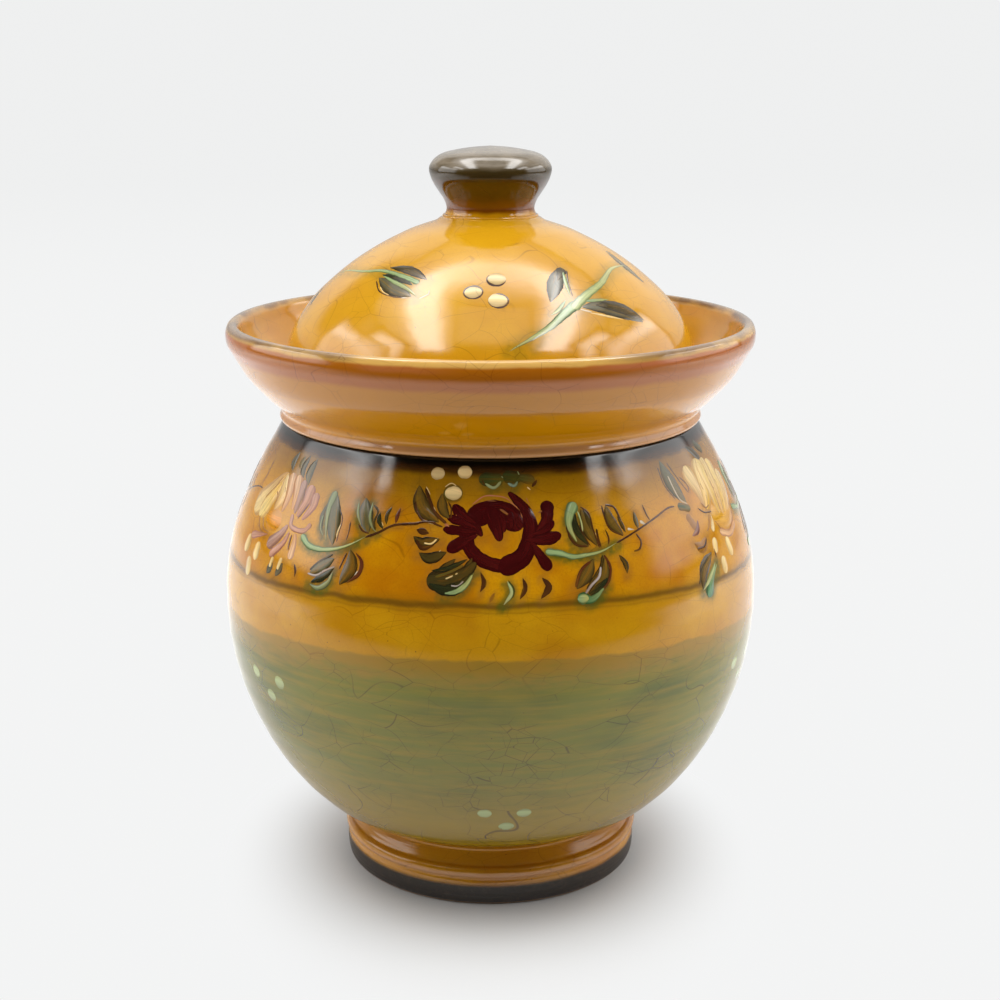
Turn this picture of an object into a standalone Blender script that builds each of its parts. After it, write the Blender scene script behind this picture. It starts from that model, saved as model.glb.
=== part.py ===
"""A lidded confit jar, thrown on a wheel: a round bowl on a foot ring, a flared collar and a domed lid.

Every piece is a turned shape about the Z axis. The origin is on the table, under the middle of the foot.
Outlines are written in millimetres as (radius, height), and become metres when they are turned.
"""

import math

import bpy

MM = 0.001

# Heights above the table.
BOWL_UNDERSIDE = 12.0
FOOT_TOP = 16.0
BOWL_FLOOR = 20.5
BELLY_HEIGHT = 81.0
SHOULDER_HEIGHT = 136.2
LEDGE_HEIGHT = 146.0
RIM_HEIGHT = 165.0
DOME_TOP = 194.2
JAR_HEIGHT = 213.8

# Radii.
FOOT_RADIUS = 44.2
BELLY_RADIUS = 78.8
SHOULDER_RADIUS = 60.5
MOUTH_RADIUS = 50.0
RIM_RADIUS = 76.6
LID_RADIUS = 60.2
KNOB_RADIUS = 17.6

BELLY_WALL = 5.4
NECK_WALL = 5.4
DOME_WALL = 5.8

# Pieces that touch keep this gap, so that each one stays a solid of its own.
SEAM = 0.3

# How far the lid's ring stands down into the mouth, and the room it has there.
RING_DEPTH = 7.6
RING_CLEARANCE = 1.4
RING_WALL = 3.8

TURN_STEPS = 48
KNOB_STEPS = 40
# The distance between points on a curve: wide on the body, fine where the shape turns quickly.
WIDE_STEP = 7.0
DOME_STEP = 4.0
FINE_STEP = 2.8
CORNER_POINTS = 3
BEAD_POINTS = 4
MERGE_DISTANCE = 0.00001

COLLECTION_NAME = "confit_jar"
AMBER_GLAZE = (0.60, 0.27, 0.035)
FOOT_BROWN = (0.10, 0.055, 0.030)
KNOB_BROWN = (0.17, 0.12, 0.070)
BARE_CLAY = (0.52, 0.34, 0.22)
GLOSSY = 0.12
MATT = 0.75


def between(one, other, share):
    """The point at a share of the way from one point to the other."""
    return (one[0] + (other[0] - one[0]) * share, one[1] + (other[1] - one[1]) * share)


def curve_point(knots, share):
    """The point at a share of the way from the second to the third of four knots (Catmull-Rom)."""
    times = [0.0]
    for one, other in zip(knots, knots[1:]):
        times.append(times[-1] + math.sqrt(math.dist(one, other)))
    now = times[1] + (times[2] - times[1]) * share
    points = list(knots)
    for reach in (1, 2):
        points = [
            between(points[index], points[index + 1],
                    (now - times[index]) / (times[index + reach] - times[index]))
            for index in range(len(points) - 1)
        ]
    return between(points[0], points[1], (now - times[1]) / (times[2] - times[1]))


def smooth_through(knots, step):
    """Points about a step apart on a smooth curve through the knots."""
    before_first = between(knots[1], knots[0], 2.0)
    after_last = between(knots[-2], knots[-1], 2.0)
    padded = [before_first, *knots, after_last]
    points = [knots[0]]
    for index in range(len(knots) - 1):
        span = padded[index : index + 4]
        count = max(1, round(math.dist(span[1], span[2]) / step))
        points += [curve_point(span, (number + 1) / count) for number in range(count)]
    return points


def arc(centre, radius, start_deg, end_deg, count=CORNER_POINTS):
    """Points on a round corner. An angle of 0 points outwards from the axis, and 90 points up."""
    points = []
    for number in range(count + 1):
        angle = math.radians(start_deg + (end_deg - start_deg) * number / count)
        points.append((centre[0] + radius * math.cos(angle), centre[1] + radius * math.sin(angle)))
    return points


def finish(name, colour, roughness):
    """A material with a colour and a roughness."""
    material = bpy.data.materials.new(name)
    material.use_nodes = True
    shader = material.node_tree.nodes["Principled BSDF"]
    shader.inputs["Base Color"].default_value = (*colour, 1.0)
    shader.inputs["Roughness"].default_value = roughness
    shader.inputs["Metallic"].default_value = 0.0
    return material


def turn(name, outline, is_ring, material, collection, steps=TURN_STEPS):
    """Spins an outline about Z. A ring's outline closes on itself, and any other ends on the axis."""
    vertices = [(radius * MM, 0.0, height * MM) for radius, height in outline]
    edges = [(index, index + 1) for index in range(len(vertices) - 1)]
    if is_ring:
        edges.append((len(vertices) - 1, 0))
    mesh = bpy.data.meshes.new(name)
    mesh.from_pydata(vertices, edges, [])
    mesh.materials.append(material)
    piece = bpy.data.objects.new(name, mesh)
    collection.objects.link(piece)
    screw = piece.modifiers.new("turn", "SCREW")
    screw.axis = "Z"
    screw.angle = math.tau
    screw.screw_offset = 0.0
    screw.steps = steps
    screw.render_steps = steps
    screw.use_merge_vertices = True
    screw.merge_threshold = MERGE_DISTANCE
    screw.use_smooth_shade = True
    return piece


def bowl_outline():
    """The round body, from the middle of its floor up the inside, over the cut top and down the outside."""
    inside = smooth_through(
        [
            (0.0, BOWL_FLOOR),
            (24.0, BOWL_FLOOR + 1.0),
            (41.0, BOWL_FLOOR + 5.8),
            (54.0, 35.0),
            (69.3, 60.5),
            (BELLY_RADIUS - BELLY_WALL, BELLY_HEIGHT),
            (71.4, 99.0),
            (64.6, 117.8),
            (SHOULDER_RADIUS - NECK_WALL, SHOULDER_HEIGHT),
        ],
        WIDE_STEP,
    )
    outside = smooth_through(
        [
            (SHOULDER_RADIUS, SHOULDER_HEIGHT),
            (69.6, 120.0),
            (77.1, 100.0),
            (BELLY_RADIUS, BELLY_HEIGHT),
            (75.5, 60.0),
            (66.8, 40.0),
            (57.9, 28.0),
            (51.6, 22.1),
            (40.2, FOOT_TOP + 2 * SEAM),
        ],
        WIDE_STEP,
    )
    underside = [(34.0, BOWL_UNDERSIDE), (0.0, BOWL_UNDERSIDE)]
    return [*inside, *outside, *underside]


def foot_outline():
    """The foot ring: a cove under the body, a bead, and a plain band that stands on the table."""
    bead_radius = 1.7
    bead_height = 9.9
    bead_reach = FOOT_RADIUS + 0.7
    sole_inner_radius = 37.6
    cove = smooth_through([(40.1, FOOT_TOP), (40.9, 14.2), (42.8, bead_height + bead_radius)], FINE_STEP)
    bead = arc((bead_reach - bead_radius, bead_height), bead_radius, 60.0, -60.0, BEAD_POINTS)
    band = [(FOOT_RADIUS - 0.3, 7.9), (FOOT_RADIUS, 7.0), (FOOT_RADIUS, 2.0), (FOOT_RADIUS - 0.4, 0.6)]
    sole = [(FOOT_RADIUS - 1.2, 0.0), (sole_inner_radius, 0.0)]
    inner_wall = [(sole_inner_radius - 0.9, 0.8), (35.2, 9.0), (34.2, BOWL_UNDERSIDE - SEAM)]
    return [*cove, *bead, *band, *sole, *inner_wall]


def collar_outline():
    """The neck and flare: outside from the rim to the bead on the shoulder, inside with the lid's ledge."""
    bead_radius = 1.15
    bead_centre = (60.6, SHOULDER_HEIGHT + SEAM + bead_radius)
    nose_radius = 1.4
    crest = (74.2, RIM_HEIGHT)
    lip = smooth_through(
        [
            crest,
            (75.8, 164.3),
            (RIM_RADIUS, 161.9),
            (76.3, 159.2),
        ],
        FINE_STEP,
    )
    flare = smooth_through(
        [
            (75.6, 158.0),
            (71.0, 150.2),
            (64.7, 143.4),
            (61.9, 141.0),
            (60.9, 139.4),
        ],
        FINE_STEP,
    )
    bead = arc(bead_centre, bead_radius, 70.0, -80.0, BEAD_POINTS)
    seat = [(60.2, SHOULDER_HEIGHT + SEAM), (SHOULDER_RADIUS - NECK_WALL, SHOULDER_HEIGHT + SEAM)]
    throat = smooth_through(
        [
            (SHOULDER_RADIUS - NECK_WALL - 0.6, 138.4),
            (52.6, 140.9),
            (MOUTH_RADIUS + 0.2, 142.8),
        ],
        FINE_STEP,
    )
    ledge_nose = arc((MOUTH_RADIUS + nose_radius, LEDGE_HEIGHT - nose_radius), nose_radius, 180.0, 90.0)
    flare_inside = smooth_through(
        [
            (61.4, LEDGE_HEIGHT),
            (63.2, 147.1),
            (68.1, 153.9),
            (71.6, 160.4),
            (72.9, 163.9),
        ],
        FINE_STEP,
    )
    return [*lip, *flare, *bead, *seat, *throat, *ledge_nose, *flare_inside]


def dome_outline():
    """The lid: from the seat of the knob down the outside to its edge, and up the hollow inside."""
    underside = LEDGE_HEIGHT + SEAM
    edge_radius = 1.6
    ring_inner_radius = MOUTH_RADIUS - RING_CLEARANCE - RING_WALL
    outside = smooth_through(
        [
            (13.6, DOME_TOP),
            (15.6, 192.9),
            (22.9, 190.4),
            (38.4, 182.0),
            (52.1, 170.0),
            (58.2, 160.0),
            (LID_RADIUS, 150.0),
        ],
        DOME_STEP,
    )
    edge = arc((LID_RADIUS - edge_radius, underside + edge_radius), edge_radius, 0.0, -90.0)
    inside = smooth_through(
        [
            (ring_inner_radius, underside),
            (50.2, 155.5),
            (52.3 - DOME_WALL, 168.4),
            (36.6, 177.6),
            (20.0, 185.6),
            (0.0, DOME_TOP - DOME_WALL),
        ],
        WIDE_STEP,
    )
    return [(0.0, DOME_TOP), *outside, *edge, *inside]


def locating_ring_outline():
    """The ring under the lid that keeps it centred in the mouth."""
    top = LEDGE_HEIGHT
    bottom = top - RING_DEPTH
    outer_radius = MOUTH_RADIUS - RING_CLEARANCE
    tip_radius = 1.5
    inner_radius = outer_radius - RING_WALL
    outer_tip = arc((outer_radius - tip_radius - 0.4, bottom + tip_radius), tip_radius, 0.0, -90.0)
    inner_tip = arc((inner_radius + tip_radius + 0.2, bottom + tip_radius), tip_radius, -90.0, -180.0)
    return [(outer_radius, top), *outer_tip, *inner_tip, (inner_radius, top)]


def knob_outline():
    """The knob: a low rounded top, a soft edge, and a waist that spreads onto the lid."""
    return smooth_through(
        [
            (0.0, JAR_HEIGHT),
            (8.0, 213.0),
            (14.9, 211.1),
            (KNOB_RADIUS, 207.6),
            (16.2, 203.2),
            (13.3, 198.6),
            (12.6, 196.2),
            (13.2, DOME_TOP + SEAM),
        ],
        FINE_STEP,
    ) + [(0.0, DOME_TOP + SEAM)]


def build():
    for obj in list(bpy.data.objects):
        bpy.data.objects.remove(obj)
    parts = bpy.data.collections.new(COLLECTION_NAME)
    bpy.context.scene.collection.children.link(parts)

    amber = finish("amber_glaze", AMBER_GLAZE, GLOSSY)
    foot_brown = finish("foot_brown", FOOT_BROWN, MATT)
    knob_brown = finish("knob_brown", KNOB_BROWN, GLOSSY)
    bare_clay = finish("bare_clay", BARE_CLAY, MATT)

    turn("jar_bowl", bowl_outline(), False, amber, parts)
    turn("foot_ring", foot_outline(), True, foot_brown, parts)
    turn("neck_collar", collar_outline(), True, amber, parts)

    # The lid lifts straight up, so its parent sits on the jar's axis, level with the ledge.
    lid = bpy.data.objects.new("lid", None)
    lid.location = (0.0, 0.0, LEDGE_HEIGHT * MM)
    parts.objects.link(lid)
    lid_pieces = [
        turn("lid_dome", dome_outline(), False, amber, parts),
        turn("lid_locating_ring", locating_ring_outline(), True, bare_clay, parts),
        turn("lid_knob", knob_outline(), False, knob_brown, parts, KNOB_STEPS),
    ]
    for piece in lid_pieces:
        piece.parent = lid
        piece.location = (0.0, 0.0, -LEDGE_HEIGHT * MM)


build()
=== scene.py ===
"""The looks of a lidded confit jar: amber crazed glaze, a green lower band and a slip-painted garland.

Lengths are written in millimetres and become metres when meshes are made. Heights are above the table.
A place on the jar's side is (u, height): u runs round the jar, to the right from the photographed front.
"""

import math
import random
from typing import NamedTuple

import bpy
import numpy as np
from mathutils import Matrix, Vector


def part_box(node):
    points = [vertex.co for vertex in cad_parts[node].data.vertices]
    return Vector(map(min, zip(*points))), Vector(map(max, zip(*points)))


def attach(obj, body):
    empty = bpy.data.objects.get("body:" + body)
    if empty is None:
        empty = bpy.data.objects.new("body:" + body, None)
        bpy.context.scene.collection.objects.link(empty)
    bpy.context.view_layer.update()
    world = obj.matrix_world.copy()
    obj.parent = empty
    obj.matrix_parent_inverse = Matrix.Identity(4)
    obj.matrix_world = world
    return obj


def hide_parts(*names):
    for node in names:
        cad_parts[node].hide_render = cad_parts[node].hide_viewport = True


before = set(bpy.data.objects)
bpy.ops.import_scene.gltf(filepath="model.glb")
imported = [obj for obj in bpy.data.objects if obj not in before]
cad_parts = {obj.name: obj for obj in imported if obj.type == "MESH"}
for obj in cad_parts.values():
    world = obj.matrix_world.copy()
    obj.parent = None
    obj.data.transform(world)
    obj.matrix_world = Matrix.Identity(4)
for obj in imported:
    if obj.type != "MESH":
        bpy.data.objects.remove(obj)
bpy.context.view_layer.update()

MM = 0.001
BAKE_UV = "OFBake"

# The camera, fitted to the rim, lid, neck and foot ellipses of the photograph.
CAMERA_PLACE = (0.0, -0.5088, 0.2394)
CAMERA_TILT_DEG = 75.72
CAMERA_LENS = 63.3
CAMERA_SHIFT_X = 0.0095

# An outline's corner turns by more than CORNER_DEG and gets close points as far as CORNER_REACH, in mm.
# In each round, points nearer than CORNER_LOOSE reaches move by a share towards their neighbours' middle.
CORNER_DEG = 38.0
CORNER_REACH = 0.5
CORNER_ROUNDS = 5
CORNER_LOOSE = 1.5
CORNER_BLEND = 0.6
# How finely each node is turned anew: mm from point to point of its outline, and segments round it.
OUTLINE_STEP = {
    "jar_bowl": 1.25,
    "neck_collar": 0.9,
    "foot_ring": 0.5,
    "lid_dome": 1.1,
    "lid_locating_ring": 0.6,
    "lid_knob": 0.6,
}
SEGMENTS = {
    "jar_bowl": 448,
    "neck_collar": 384,
    "foot_ring": 320,
    "lid_dome": 384,
    "lid_locating_ring": 256,
    "lid_knob": 192,
}
# How unsteady the thrown walls are, in mm. It grows up to this distance from the axis.
HAND_WOBBLE = 0.035
WOBBLE_RADIUS = 20.0
# Closer to the axis than this, in mm, a point lies on it.
ON_AXIS = 0.02

# Places on the jar's side are measured round a circle of this radius.
GIRTH_RADIUS = 70.0


def between(one, other, share):
    """The value or point at a share of the way from one to the other."""
    return one + (other - one) * share


def smooth_step(low, high, value):
    """0 below low, 1 above high, and a soft ramp between. It takes numbers or arrays."""
    share = np.clip((value - low) / (high - low), 0.0, 1.0)
    return share * share * (3.0 - 2.0 * share)


def curve_point(knots, share):
    """The point at a share of the way from the second to the third of four knots (Catmull-Rom)."""
    times = [0.0]
    for one, other in zip(knots, knots[1:]):
        times.append(times[-1] + math.sqrt(max(math.dist(one, other), 1e-6)))
    now = between(times[1], times[2], share)
    points = list(knots)
    for reach in (1, 2):
        points = [
            between(points[index], points[index + 1],
                    (now - times[index]) / (times[index + reach] - times[index]))
            for index in range(len(points) - 1)
        ]
    return between(points[0], points[1], (now - times[1]) / (times[2] - times[1]))


def smooth_through(knots, step):
    """Points about a step apart on a smooth curve through the knots, as an array."""
    knots = [np.array(knot, float) for knot in knots]
    padded = [2 * knots[0] - knots[1], *knots, 2 * knots[-1] - knots[-2]]
    points = [knots[0]]
    for index in range(len(knots) - 1):
        span = padded[index : index + 4]
        count = max(1, round(math.dist(span[1], span[2]) / step))
        points += [curve_point(span, (number + 1) / count) for number in range(count)]
    return np.array(points)


def meridian(node):
    """A turned node's outline as (radius, height) points, anticlockwise, read along its +X side."""
    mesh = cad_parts[node].data
    links = {}
    for edge in mesh.edges:
        ends = [mesh.vertices[index].co / MM for index in edge.vertices]
        if any(abs(end.y) > ON_AXIS or end.x < -ON_AXIS for end in ends):
            continue
        one, other = [(round(end.x, 2), round(end.z, 2)) for end in ends]
        if one != other:
            links.setdefault(one, set()).add(other)
            links.setdefault(other, set()).add(one)
    is_ring = all(len(others) == 2 for others in links.values())
    start = max(links) if is_ring else min(point for point in links if len(links[point]) == 1)
    chain = [start]
    while True:
        onward = [point for point in sorted(links[chain[-1]]) if point not in chain]
        if not onward:
            break
        chain.append(onward[0])
    if not is_ring:
        # A flat disc has no vertex in its middle, so the outline is carried on to the axis.
        if chain[0][0] > ON_AXIS:
            chain.insert(0, (0.0, chain[0][1]))
        if chain[-1][0] > ON_AXIS:
            chain.append((0.0, chain[-1][1]))
    points = np.array(chain)
    x, y = points[:, 0], points[:, 1]
    area = np.sum(x * np.roll(y, -1) - np.roll(x, -1) * y)
    if area < 0:
        points = points[::-1]
    return points, is_ring


def corner_indices(points, is_ring):
    """Where the outline turns sharply."""
    found = []
    for index in range(len(points)):
        if not is_ring and index in (0, len(points) - 1):
            found.append(index)
            continue
        back = points[index] - points[index - 1]
        ahead = points[(index + 1) % len(points)] - points[index]
        turn = math.atan2(back[0] * ahead[1] - back[1] * ahead[0], float(back @ ahead))
        if abs(math.degrees(turn)) > CORNER_DEG:
            found.append(index)
    return found


def fine_outline(node):
    """The node's outline with its curves made smooth and its corners softened."""
    points, is_ring = meridian(node)
    corners = corner_indices(points, is_ring)
    if is_ring:
        points = np.roll(points, -corners[0], axis=0)
        corners = [index - corners[0] for index in corners] + [len(points)]
        points = np.vstack([points, points[:1]])
    rows = []
    for start, end in zip(corners, corners[1:]):
        rows.append(with_soft_ends(smooth_through(points[start : end + 1], OUTLINE_STEP[node]))[:-1])
    rows.append(points[-1:])
    outline = soften_corners(np.vstack(rows), points[corners], is_ring)
    low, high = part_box(node)
    outline[:, 0] = np.clip(outline[:, 0], 0.0, high.x / MM)
    outline[:, 1] = np.clip(outline[:, 1], low.z / MM, high.z / MM)
    return outline, is_ring


def with_soft_ends(run):
    """The run with extra points close to both ends, so that its corners can be rounded."""
    extras = [CORNER_REACH * share for share in (0.33, 0.66, 1.0)]
    lengths = np.concatenate([[0.0], np.cumsum(np.linalg.norm(np.diff(run, axis=0), axis=1))])
    total = lengths[-1]
    wanted = set(lengths.round(4))
    if total > 4 * CORNER_REACH:
        wanted |= {round(extra, 4) for extra in extras}
        wanted |= {round(total - extra, 4) for extra in extras}
    places = np.array(sorted(wanted))
    return np.stack([np.interp(places, lengths, run[:, axis]) for axis in (0, 1)], axis=1)


def soften_corners(outline, corner_places, is_ring):
    """Rounds the outline where it is close to a corner, and leaves the rest alone."""
    softened = outline.copy()
    distance = np.min(np.linalg.norm(outline[:, None] - corner_places[None], axis=2), axis=1)
    loose = distance < CORNER_REACH * CORNER_LOOSE
    if not is_ring:
        loose[0] = loose[-1] = False
    for _ in range(CORNER_ROUNDS):
        if is_ring:
            softened[-1] = softened[0]
            before = np.vstack([softened[-2:-1], softened[:-1]])
            after = np.vstack([softened[1:], softened[1:2]])
        else:
            before = np.vstack([softened[:1], softened[:-1]])
            after = np.vstack([softened[1:], softened[-1:]])
        rounder = between(softened, (before + after) / 2, CORNER_BLEND)
        softened = np.where(loose[:, None], rounder, softened)
    return softened


def hand_wobble(angle, height):
    """How far a hand-thrown wall falls short of a true circle, in mm: never outside it."""
    throwing_rings = np.sin(height * 0.83 + 1.4 * np.sin(angle)) + 0.6 * np.sin(height * 0.37 + angle)
    out_of_round = 0.9 * np.sin(2 * angle + 0.7 + height * 0.02)
    return -HAND_WOBBLE * (2.5 + throwing_rings + out_of_round)


def even_rows(outline):
    """A weight of 1 for every row of the outline."""
    return np.ones(len(outline))


def texture_rows(outline, is_ring, weights):
    """Where each row of the outline starts in the texture and where the last one ends, from 0 to 1."""
    steps = np.linalg.norm(np.diff(np.vstack([outline, outline[:1]]), axis=0), axis=1) * weights
    if not is_ring:
        steps[-1] = 0.0
    down = np.concatenate([[0.0], np.cumsum(steps)])
    return down / down[-1]


def turned_mesh(name, outline, is_ring, segments, uv_weight=even_rows):
    """A mesh made by turning an outline about Z, with a cylindrical UV map for the bake."""
    if is_ring:
        outline = outline[:-1]
    angles = np.arange(segments) * math.tau / segments
    vertices = []
    rings = []
    for radius, height in outline:
        reach = (radius + hand_wobble(angles, height) * min(1.0, radius / WOBBLE_RADIUS)) * MM
        ring = np.stack([reach * np.cos(angles), reach * np.sin(angles), np.full(segments, height * MM)], 1)
        if radius < ON_AXIS:
            ring = [(0.0, 0.0, height * MM)]
        rings.append(range(len(vertices), len(vertices) + len(ring)))
        vertices.extend(map(tuple, ring))
    down = texture_rows(outline, is_ring, uv_weight(outline))
    faces = []
    uvs = []
    for row in range(len(outline) if is_ring else len(outline) - 1):
        sides = ((rings[row], down[row], (0, 1)), (rings[(row + 1) % len(outline)], down[row + 1], (1, 0)))
        for column in range(segments):
            face = []
            for ring, v, order in sides:
                if len(ring) == 1:
                    face.append(ring[0])
                    uvs.append(((column + 0.5) / segments, v))
                    continue
                for onward in order:
                    face.append(ring[(column + onward) % segments])
                    uvs.append(((column + onward) / segments, v))
            faces.append(face)
    mesh = bpy.data.meshes.new(name)
    mesh.from_pydata(vertices, [], faces)
    layer = mesh.uv_layers.new(name=BAKE_UV)
    layer.data.foreach_set("uv", np.array(uvs, np.float32).ravel())
    mesh.shade_smooth()
    return mesh


def add_piece(name, mesh, material, body, slot, *nodes):
    """Puts a mesh in the scene as a piece that moves with a body and stands for CAD nodes."""
    mesh.materials.append(material)
    piece = bpy.data.objects.new(name, mesh)
    bpy.context.scene.collection.objects.link(piece)
    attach(piece, body)
    if nodes:
        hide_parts(*nodes)


class Shader:
    """Builds one node material. Each method adds a node and returns its output."""

    def __init__(self, name):
        self.material = bpy.data.materials.new(name)
        self.material.use_nodes = True
        self.nodes = self.material.node_tree.nodes
        self.links = self.material.node_tree.links
        self.surface = self.nodes["Principled BSDF"]

    @classmethod
    def of_world(cls, world):
        shader = cls.__new__(cls)
        world.use_nodes = True
        shader.nodes = world.node_tree.nodes
        shader.links = world.node_tree.links
        return shader

    def feed(self, socket, value):
        if isinstance(value, bpy.types.NodeSocket):
            self.links.new(value, socket)
        elif isinstance(value, (tuple, list)) and len(value) == 3 and socket.type == "RGBA":
            socket.default_value = (*value, 1.0)
        else:
            socket.default_value = value

    def add(self, kind, inputs, output=0, **settings):
        node = self.nodes.new(kind)
        for key, value in settings.items():
            setattr(node, key, value)
        for key, value in inputs.items():
            self.feed(node.inputs[key], value)
        return node.outputs[output]

    def math(self, operation, one, other=0.0):
        return self.add("ShaderNodeMath", {0: one, 1: other}, operation=operation)

    def plus(self, one, other):
        return self.math("ADD", one, other)

    def times(self, one, other):
        return self.math("MULTIPLY", one, other)

    def most(self, one, other):
        return self.math("MAXIMUM", one, other)

    def ramp(self, value, low, high, start=0.0, end=1.0):
        """A soft ramp from start to end as the value goes from low to high."""
        inputs = {"Value": value, "From Min": low, "From Max": high, "To Min": start, "To Max": end}
        return self.add("ShaderNodeMapRange", inputs, interpolation_type="SMOOTHSTEP")

    def band(self, value, middle, half_width, softness):
        """1 within half_width of the middle, and 0 beyond its soft edge."""
        away = self.math("ABSOLUTE", self.plus(value, -middle))
        return self.ramp(away, half_width + softness, half_width - softness)

    def mix(self, factor, one, other, blend="MIX"):
        node = self.nodes.new("ShaderNodeMix")
        node.data_type = "RGBA"
        node.blend_type = blend
        for index, value in ((0, factor), (6, one), (7, other)):
            self.feed(node.inputs[index], value)
        return node.outputs[2]

    def over(self, colour, value, *layers):
        """The colour with others laid over it where the value passes from low to high.

        A layer is (low, high, how much of it shows, its colour).
        """
        for low, high, share, other in layers:
            colour = self.mix(self.ramp(value, low, high, 0.0, share), colour, other)
        return colour

    def part(self, vector, axis):
        return self.add("ShaderNodeSeparateXYZ", {0: vector}, output=axis)

    def vector_math(self, operation, one, other=(0.0, 0.0, 0.0), output=0):
        return self.add("ShaderNodeVectorMath", {0: one, 1: other}, output=output, operation=operation)

    def place(self, scale=(1.0, 1.0, 1.0)):
        """The place in mm, stretched by the scale."""
        coordinates = self.add("ShaderNodeTexCoord", {}, output="Object")
        return self.vector_math("MULTIPLY", coordinates, tuple(factor / MM for factor in scale))

    def height(self):
        return self.part(self.place(), 2)

    def noise(self, size, detail=3.0, roughness=0.5, stretch=(1.0, 1.0, 1.0), offset=0.0):
        """Noise from 0 to 1 whose marks are about size mm across."""
        where = self.place(stretch)
        if offset:
            where = self.vector_math("ADD", where, (offset,) * 3)
        inputs = {"Vector": where, "Scale": 1.0 / size, "Detail": detail, "Roughness": roughness}
        return self.add("ShaderNodeTexNoise", inputs, noise_dimensions="3D")

    def drift(self, *size, **looks):
        """Noise about zero."""
        return self.plus(self.noise(*size, **looks), -0.5)

    def moved(self, value, drift, reach):
        """The value moved by so much of a drift."""
        return self.plus(value, self.times(drift, reach))

    def attribute(self, name, output="Fac"):
        return self.add("ShaderNodeAttribute", {}, output=output, attribute_name=name)

    def finish(self, colour, roughness, ior=1.5, normal=None):
        self.feed(self.surface.inputs["Base Color"], colour)
        self.feed(self.surface.inputs["Roughness"], roughness)
        self.surface.inputs["IOR"].default_value = ior
        if normal is not None:
            self.feed(self.surface.inputs["Normal"], normal)
        return self.material

    def bump(self, height, distance, strength=1.0):
        inputs = {"Height": height, "Distance": distance * MM, "Strength": strength}
        return self.add("ShaderNodeBump", inputs, output="Normal")


# Colours are linear.
AMBER = (0.55, 0.252, 0.0015)
DEEP_AMBER = (0.42, 0.147, 0.001)
HONEY = (0.66, 0.33, 0.004)
LID_HONEY = (0.61, 0.325, 0.012)
YELLOW_AMBER = (0.47, 0.27, 0.006)
POOL_AMBER = (0.56, 0.228, 0.001)
GRAIN_BROWN = (0.30, 0.10, 0.002)
CRAZE_SHADE = (0.34, 0.28, 0.30)
IRON_SPECK = (0.05, 0.018, 0.006)
# The slip and the brown haze under the collar are partly painted shade under its overhang.
SLIP_AND_SHADE_BLACK = (0.005, 0.0035, 0.002)
HAZE_AND_SHADE_BROWN = (0.135, 0.070, 0.003)
SLIP_BROWN = (0.050, 0.018, 0.003)
LINE_GREEN = (0.115, 0.082, 0.008)
LINE_BROWN = (0.125, 0.058, 0.004)
STAIN_GREEN = (0.055, 0.085, 0.008)
GREEN_BAND = (0.160, 0.158, 0.011)
GREEN_DARK = (0.098, 0.110, 0.009)
OLIVE_FOOT = (0.30, 0.190, 0.008)
BORDER_TAN = (0.31, 0.170, 0.012)
OXIDE_GREY = (0.28, 0.215, 0.15)
OXIDE_BROWN = (0.16, 0.075, 0.025)
TERRACOTTA = (0.40, 0.125, 0.045)
PINK_BROWN = (0.40, 0.125, 0.022)
# The collar's own pinkish bead, and a painted highlight along the foot's bead.
PINK_BEAD_AND_HIGHLIGHT = (0.58, 0.30, 0.14)
TAN_GLAZE = (0.49, 0.200, 0.014)
RIM_DARK = (0.34, 0.100, 0.004)
# The rim's crest: pale glaze, lightened further by a painted highlight.
CREST_GOLD_AND_HIGHLIGHT = (0.64, 0.37, 0.09)
# The knob: grey oxide with a painted sheen on top; dark glaze with painted shade under its widest part and at
# its neck.
KNOB_GREY_AND_SHEEN = (0.20, 0.16, 0.11)
KNOB_OLIVE = (0.045, 0.029, 0.008)
KNOB_DARK_AND_SHADE = (0.055, 0.021, 0.001)
KNOB_AMBER_AND_SHADE = (0.18, 0.050, 0.0005)
FOOT_DARK = (0.012, 0.0060, 0.002)
FOOT_WORN = (0.055, 0.034, 0.020)
CLAY = (0.50, 0.31, 0.19)
CLAY_DARK = (0.40, 0.23, 0.135)
CLAY_STAIN = (0.55, 0.27, 0.10)

# The cracks run aslant, bend by so much of a cell and are drawn out along their slant.
CRAZE_SLANT = (0.0, 0.5, 0.0)
CRAZE_STRETCH = (0.65, 0.8, 1.3)
CRAZE_BEND = 1.1
# The nets of cracks: size of a cell in mm, width of a crack in cells, and the noise over which it comes in.
CRAZE_NETS = ((11.0, 0.009, (0.34, 0.56)), (4.8, 0.014, (0.46, 0.66)))

SPECK_SPACING = 2.6
SPECK_STRENGTH = 0.8

# How the hairs' noise is stretched along a brush mark, across it and from one stroke to the next.
HAIR_STRETCH = (0.12, 2.1, 1.0)

# Where the green band ends, and the middle of the thin brown line above it.
GREEN_TOP = 87.0
LINE_HEIGHT = 101.2

GLAZE_IOR = 1.62
GLAZE_ROUGHNESS = 0.105
COLLAR_ROUGHNESS = 0.08
KNOB_ROUGHNESS = 0.09
FOOT_ROUGHNESS = 0.13
FOOT_DARK_ROUGHNESS = 0.34
CLAY_ROUGHNESS = 0.78
UNDERSIDE_ROUGHNESS = 0.75
SOLE_ROUGHNESS = 0.7
CLAY_IOR = 1.5


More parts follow.
